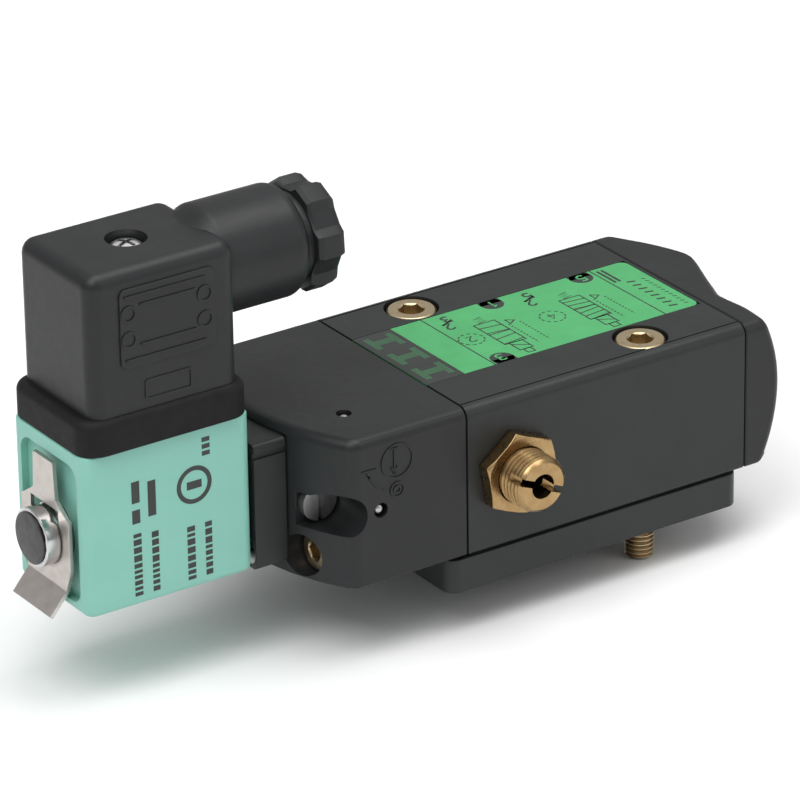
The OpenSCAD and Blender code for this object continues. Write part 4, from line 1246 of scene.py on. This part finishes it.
# Half widths of a lobe at its top and foot, in degrees
LOBE_TOP = 11.5
LOBE_FOOT = 20
LOBE_HEIGHT = 1.35
NUT_R = 9.5
NUT_GAP = 1.1
NUT_CORE_R = 7.5
NUT_BORE_R = 4.6


def make_gasket():
    """The rubber frame between the coil and the connector."""
    low, high = corners("connector_gasket")
    outline = rounded_rectangle((low.x, low.y), (high.x, high.y), (GASKET_CORNER_R,) * 4, 10)
    shell = prism(outline, low.z, high.z, "z", GASKET_FOOT_ROUND, GASKET_TOP_ROUND)
    made = loose_object("connector_gasket_soft", shell)
    keep_within(made, "connector_gasket")
    finish_piece(made, "connector_gasket")


def barrel_profile(box_end, end, radius):
    """The cable barrel, which rises out of the box's top in a smooth shoulder and ends in a round rim."""
    start = box_end - SHOULDER_L
    start_r = BOX_RISE - SHOULDER_DROP
    profile = [(0, start)]
    for k in range(SHOULDER_STEPS + 1):
        share = k / SHOULDER_STEPS
        profile.append((start_r + (radius - start_r) * smooth_step(share), start + SHOULDER_L * share))
    rim = arc((end - BARREL_RIM, radius - BARREL_RIM), BARREL_RIM, 90, 0, 8)
    return profile + [(r, x) for x, r in rim] + [(0, end)]


def make_housing():
    """The connector's box and cable barrel in one moulding, hollow as its CAD node is."""
    low, high = corners("connector_housing")
    insert = corners("connector_insert")[1]
    screw_at = (middle_of("connector_screw")[0], 0)
    axis = (0, middle_of("gland_seal")[2])
    box_end = insert.x + HOUSING_WALL + INSERT_PLAY
    box_top = axis[1] + BOX_RISE
    outline = rounded_rectangle((low.x, low.y), (box_end, high.y), (HOUSING_CORNER_R,) * 4)
    made = loose_object("connector_housing_shell", prism(outline, low.z, box_top, "z", 0, HOUSING_TOP_ROUND))
    combine(made, turned(barrel_profile(box_end, high.x, high.z - axis[1]), "x", axis), "UNION")
    room_low = (low.x + HOUSING_WALL, low.y + HOUSING_WALL)
    room_high = (box_end - HOUSING_WALL, high.y - HOUSING_WALL)
    room = rounded_rectangle(room_low, room_high, (HOUSING_ROOM_CORNER_R,) * 4)
    cut_from(made, [prism(room, low.z - 1, box_top - HOUSING_WALL)])
    combine(made, cylinder("z", screw_at, SCREW_TOWER_R, insert.z + 0.3, box_top - 1), "UNION")
    cut_from(made, [
        cylinder("x", axis, CABLE_BORE_R, box_end - HOUSING_WALL - 1, high.x + 1),
        cylinder("x", axis, GLAND_BORE_R, corners("gland_seal")[0].x, high.x + 1),
        cylinder("z", screw_at, SCREW_BORE_R, insert.z, box_top + 1),
        cylinder("z", screw_at, SCREW_SINK_R, box_top - SCREW_SINK_DEPTH, box_top + 1),
    ])
    soften(made, 0.15, limit=50)
    finish_piece(made, "connector_housing")
    add_housing_marks(-low.y)


def add_housing_marks(face):
    """The raised panel on the front of the box, with its lines and dots, and the blank window under it."""
    top = face + PANEL_T
    raised = [prism(rounded_rectangle(PANEL_LOW, PANEL_HIGH, (1.2,) * 4), face - 0.4, top, "y", 0, 0.12)]
    lines = [([(x0, z), (x1, z)], False) for x0, x1, z in PANEL_LINES]
    lines += [(moved(regular(PANEL_DOT_R, 32), spot), True) for spot in PANEL_DOTS]
    for path, closed in lines:
        raised.append(ribbon(path, PANEL_LINE, top - 0.1, top + PANEL_LINE_T, "y", closed))
    window = rounded_rectangle(WINDOW_LOW, WINDOW_HIGH, (0.4,) * 4)
    raised.append(ribbon(window, WINDOW_LINE, face - 0.2, face + WINDOW_LINE_T, "y", True))
    detail("connector_panel", joined(raised), "connector_housing")


def make_connector_screw():
    """The plated fixing screw, with a cross recess in its domed head."""
    low, high = corners("connector_screw")
    x = middle_of("connector_screw")[0]
    head_r = (high.x - low.x) / 2
    top = high.z + SCREW_DOME
    rim = top - SCREW_DOME
    seat = high.z - SCREW_SEAT_DEPTH
    profile = [(0, low.z), (SCREW_SHANK_R - 0.2, low.z), (SCREW_SHANK_R, low.z + 0.3)]
    profile += [(SCREW_SHANK_R, seat), (head_r, seat), (head_r, rim)]
    profile += [(head_r * math.cos(t), rim + SCREW_DOME * math.sin(t)) for t in (0.3, 0.6, 0.9, 1.2)]
    profile += [(0.5, top), (0, top)]
    made = loose_object("connector_screw_plated", turned(profile, "z", (x, 0), 64))
    cut_from(made, [
        block((x - across, -along, top - 1.2), (x + across, along, top + 1))
        for across, along in ((CROSS_L, CROSS_W), (CROSS_W, CROSS_L))
    ])
    to_axis = Matrix.Translation((x, 0, 0))
    made.data.transform(to_axis @ Matrix.Rotation(CROSS_TURN, 4, "Z") @ to_axis.inverted())
    soften(made, 0.05, limit=50)
    finish_piece(made, "connector_screw", MATERIALS["bright_zinc"])


def lobed(outer, height):
    """Outline with flat-topped lobes and a hollow between each two."""
    points = []
    sides = ((-LOBE_FOOT, outer - height), (-LOBE_TOP, outer), (LOBE_TOP, outer), (LOBE_FOOT, outer - height))
    for k in range(LOBE_COUNT):
        middle = LOBE_TURN + 360 * k / LOBE_COUNT
        for away, radius in sides:
            turn = math.radians(middle + away)
            points.append((radius * math.cos(turn), radius * math.sin(turn)))
    return points


def make_gland_nut():
    """The cable gland's nut: six lobes to grip it by, and a neck that screws into the barrel."""
    low, high = corners("gland_nut")
    axis = (0, middle_of("gland_seal")[2])
    grip_x = corners("connector_housing")[1].x + NUT_GAP
    # Place of each ring along the axis, and how far it is drawn in
    rings = ((grip_x, 0.5), (grip_x + 0.7, 0), (high.x - 1.4, 0), (high.x - 0.4, 0.45), (high.x, 1.0))
    outlines = [(moved(lobed(NUT_R - drop, LOBE_HEIGHT - 0.6 * drop), axis), x) for x, drop in rings]
    made = loose_object("gland_nut_grip", loft(outlines, "x"))
    neck_r = corners("gland_seal")[1].z - axis[1] - SKIN
    neck = [(0, low.x), (neck_r, low.x), (neck_r, grip_x - 1)]
    neck += [(NUT_CORE_R, grip_x - 0.95), (NUT_CORE_R, grip_x + 0.3), (0, grip_x + 0.3)]
    combine(made, turned(neck, "x", axis), "UNION")
    cut_from(made, [cylinder("x", axis, NUT_BORE_R, low.x - 1, high.x + 1)])
    soften(made, 0.3, 3, limit=28)
    finish_piece(made, "gland_nut")


# ---- Reducer and springs ----

REDUCER_CHAMFER = 0.8

# Joint, wire radius, whether the high end stands still, and the share of the length left at full travel
SPRINGS = {
    "return_spring": ("spool_slide", 0.4, True, 0.68),
    "plunger_spring": ("plunger_slide", 0.2, False, 0.91),
}
SPRING_TURNS = 8
SPRING_STEPS = 24
# Share of a spring's run that closes up towards its ends
SPRING_CLOSING = 0.3


def make_reducer():
    """The slotted reducer, with its outer end chamfered through the thread."""
    low, high = corners("exhaust_reducer")
    x, _, z = middle_of("exhaust_reducer")
    radius = (high.x - low.x) / 2
    end = -low.y
    outside = [
        (0, -high.y - 1), (radius + 1, -high.y - 1), (radius + 1, end - REDUCER_CHAMFER - 0.5),
        (radius, end - REDUCER_CHAMFER), (radius - REDUCER_CHAMFER, end), (0, end),
    ]
    made = loose_object("exhaust_reducer_finish", cad_mesh("exhaust_reducer"))
    combine(made, turned(outside, "y", (x, z)), "INTERSECT")
    soften(made, 0.06, limit=50)
    finish_piece(made, "exhaust_reducer")


def make_springs():
    """Round wire springs that fill their nodes, with turns closing up towards the ends."""
    count = SPRING_TURNS * SPRING_STEPS
    for node, (joint, wire_r, high_end_still, keep) in SPRINGS.items():
        low, high = corners(node)
        _, y, z = middle_of(node)
        radius = (high.z - low.z) / 2 - wire_r
        run = high.x - low.x - 2 * wire_r
        path = []
        for i in range(count + 1):
            share = i / count
            close = 0.5 - 0.5 * math.cos(math.pi * share)
            x = low.x + wire_r + run * ((1 - SPRING_CLOSING) * share + SPRING_CLOSING * close)
            around = 2 * math.pi * SPRING_TURNS * share
            path.append((x, y + radius * math.cos(around), z + radius * math.sin(around)))
        made = finish_piece(loose_object(node + "_wire", wire(path, wire_r)), node)
        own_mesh(made)


# ---- Everything together ----

# Nodes that only get their edges rounded, and by how much
REFINED = {
    "interface_plate": 0.35, "mounting_screws": 0.14, "head_screws": 0.12,
    "end_cap_screws": 0.12, "manual_operator": 0.12, "pilot_body": 0.3,
    "fixed_core": 0.25, "reducer_locknut": 0.15,
}


def dress_frame():
    """Gives every CAD node the material of its slot."""
    for node, made in frame["nodes"].items():
        made.data.materials.clear()
        made.data.materials.append(MATERIALS[SLOT_OF[node]])


MATERIALS = make_materials()
add_camera()
add_floor()
add_sky()
add_lights()
dress_frame()
for name, width in REFINED.items():
    refined(name, width)
refined("retaining_clip", 0.12, material=MATERIALS["clip_plating"])
make_body()
make_head()
make_end_cap()
make_label()
make_coil()
make_core_end()
make_gasket()
make_housing()
make_connector_screw()
make_gland_nut()
make_reducer()
make_springs()
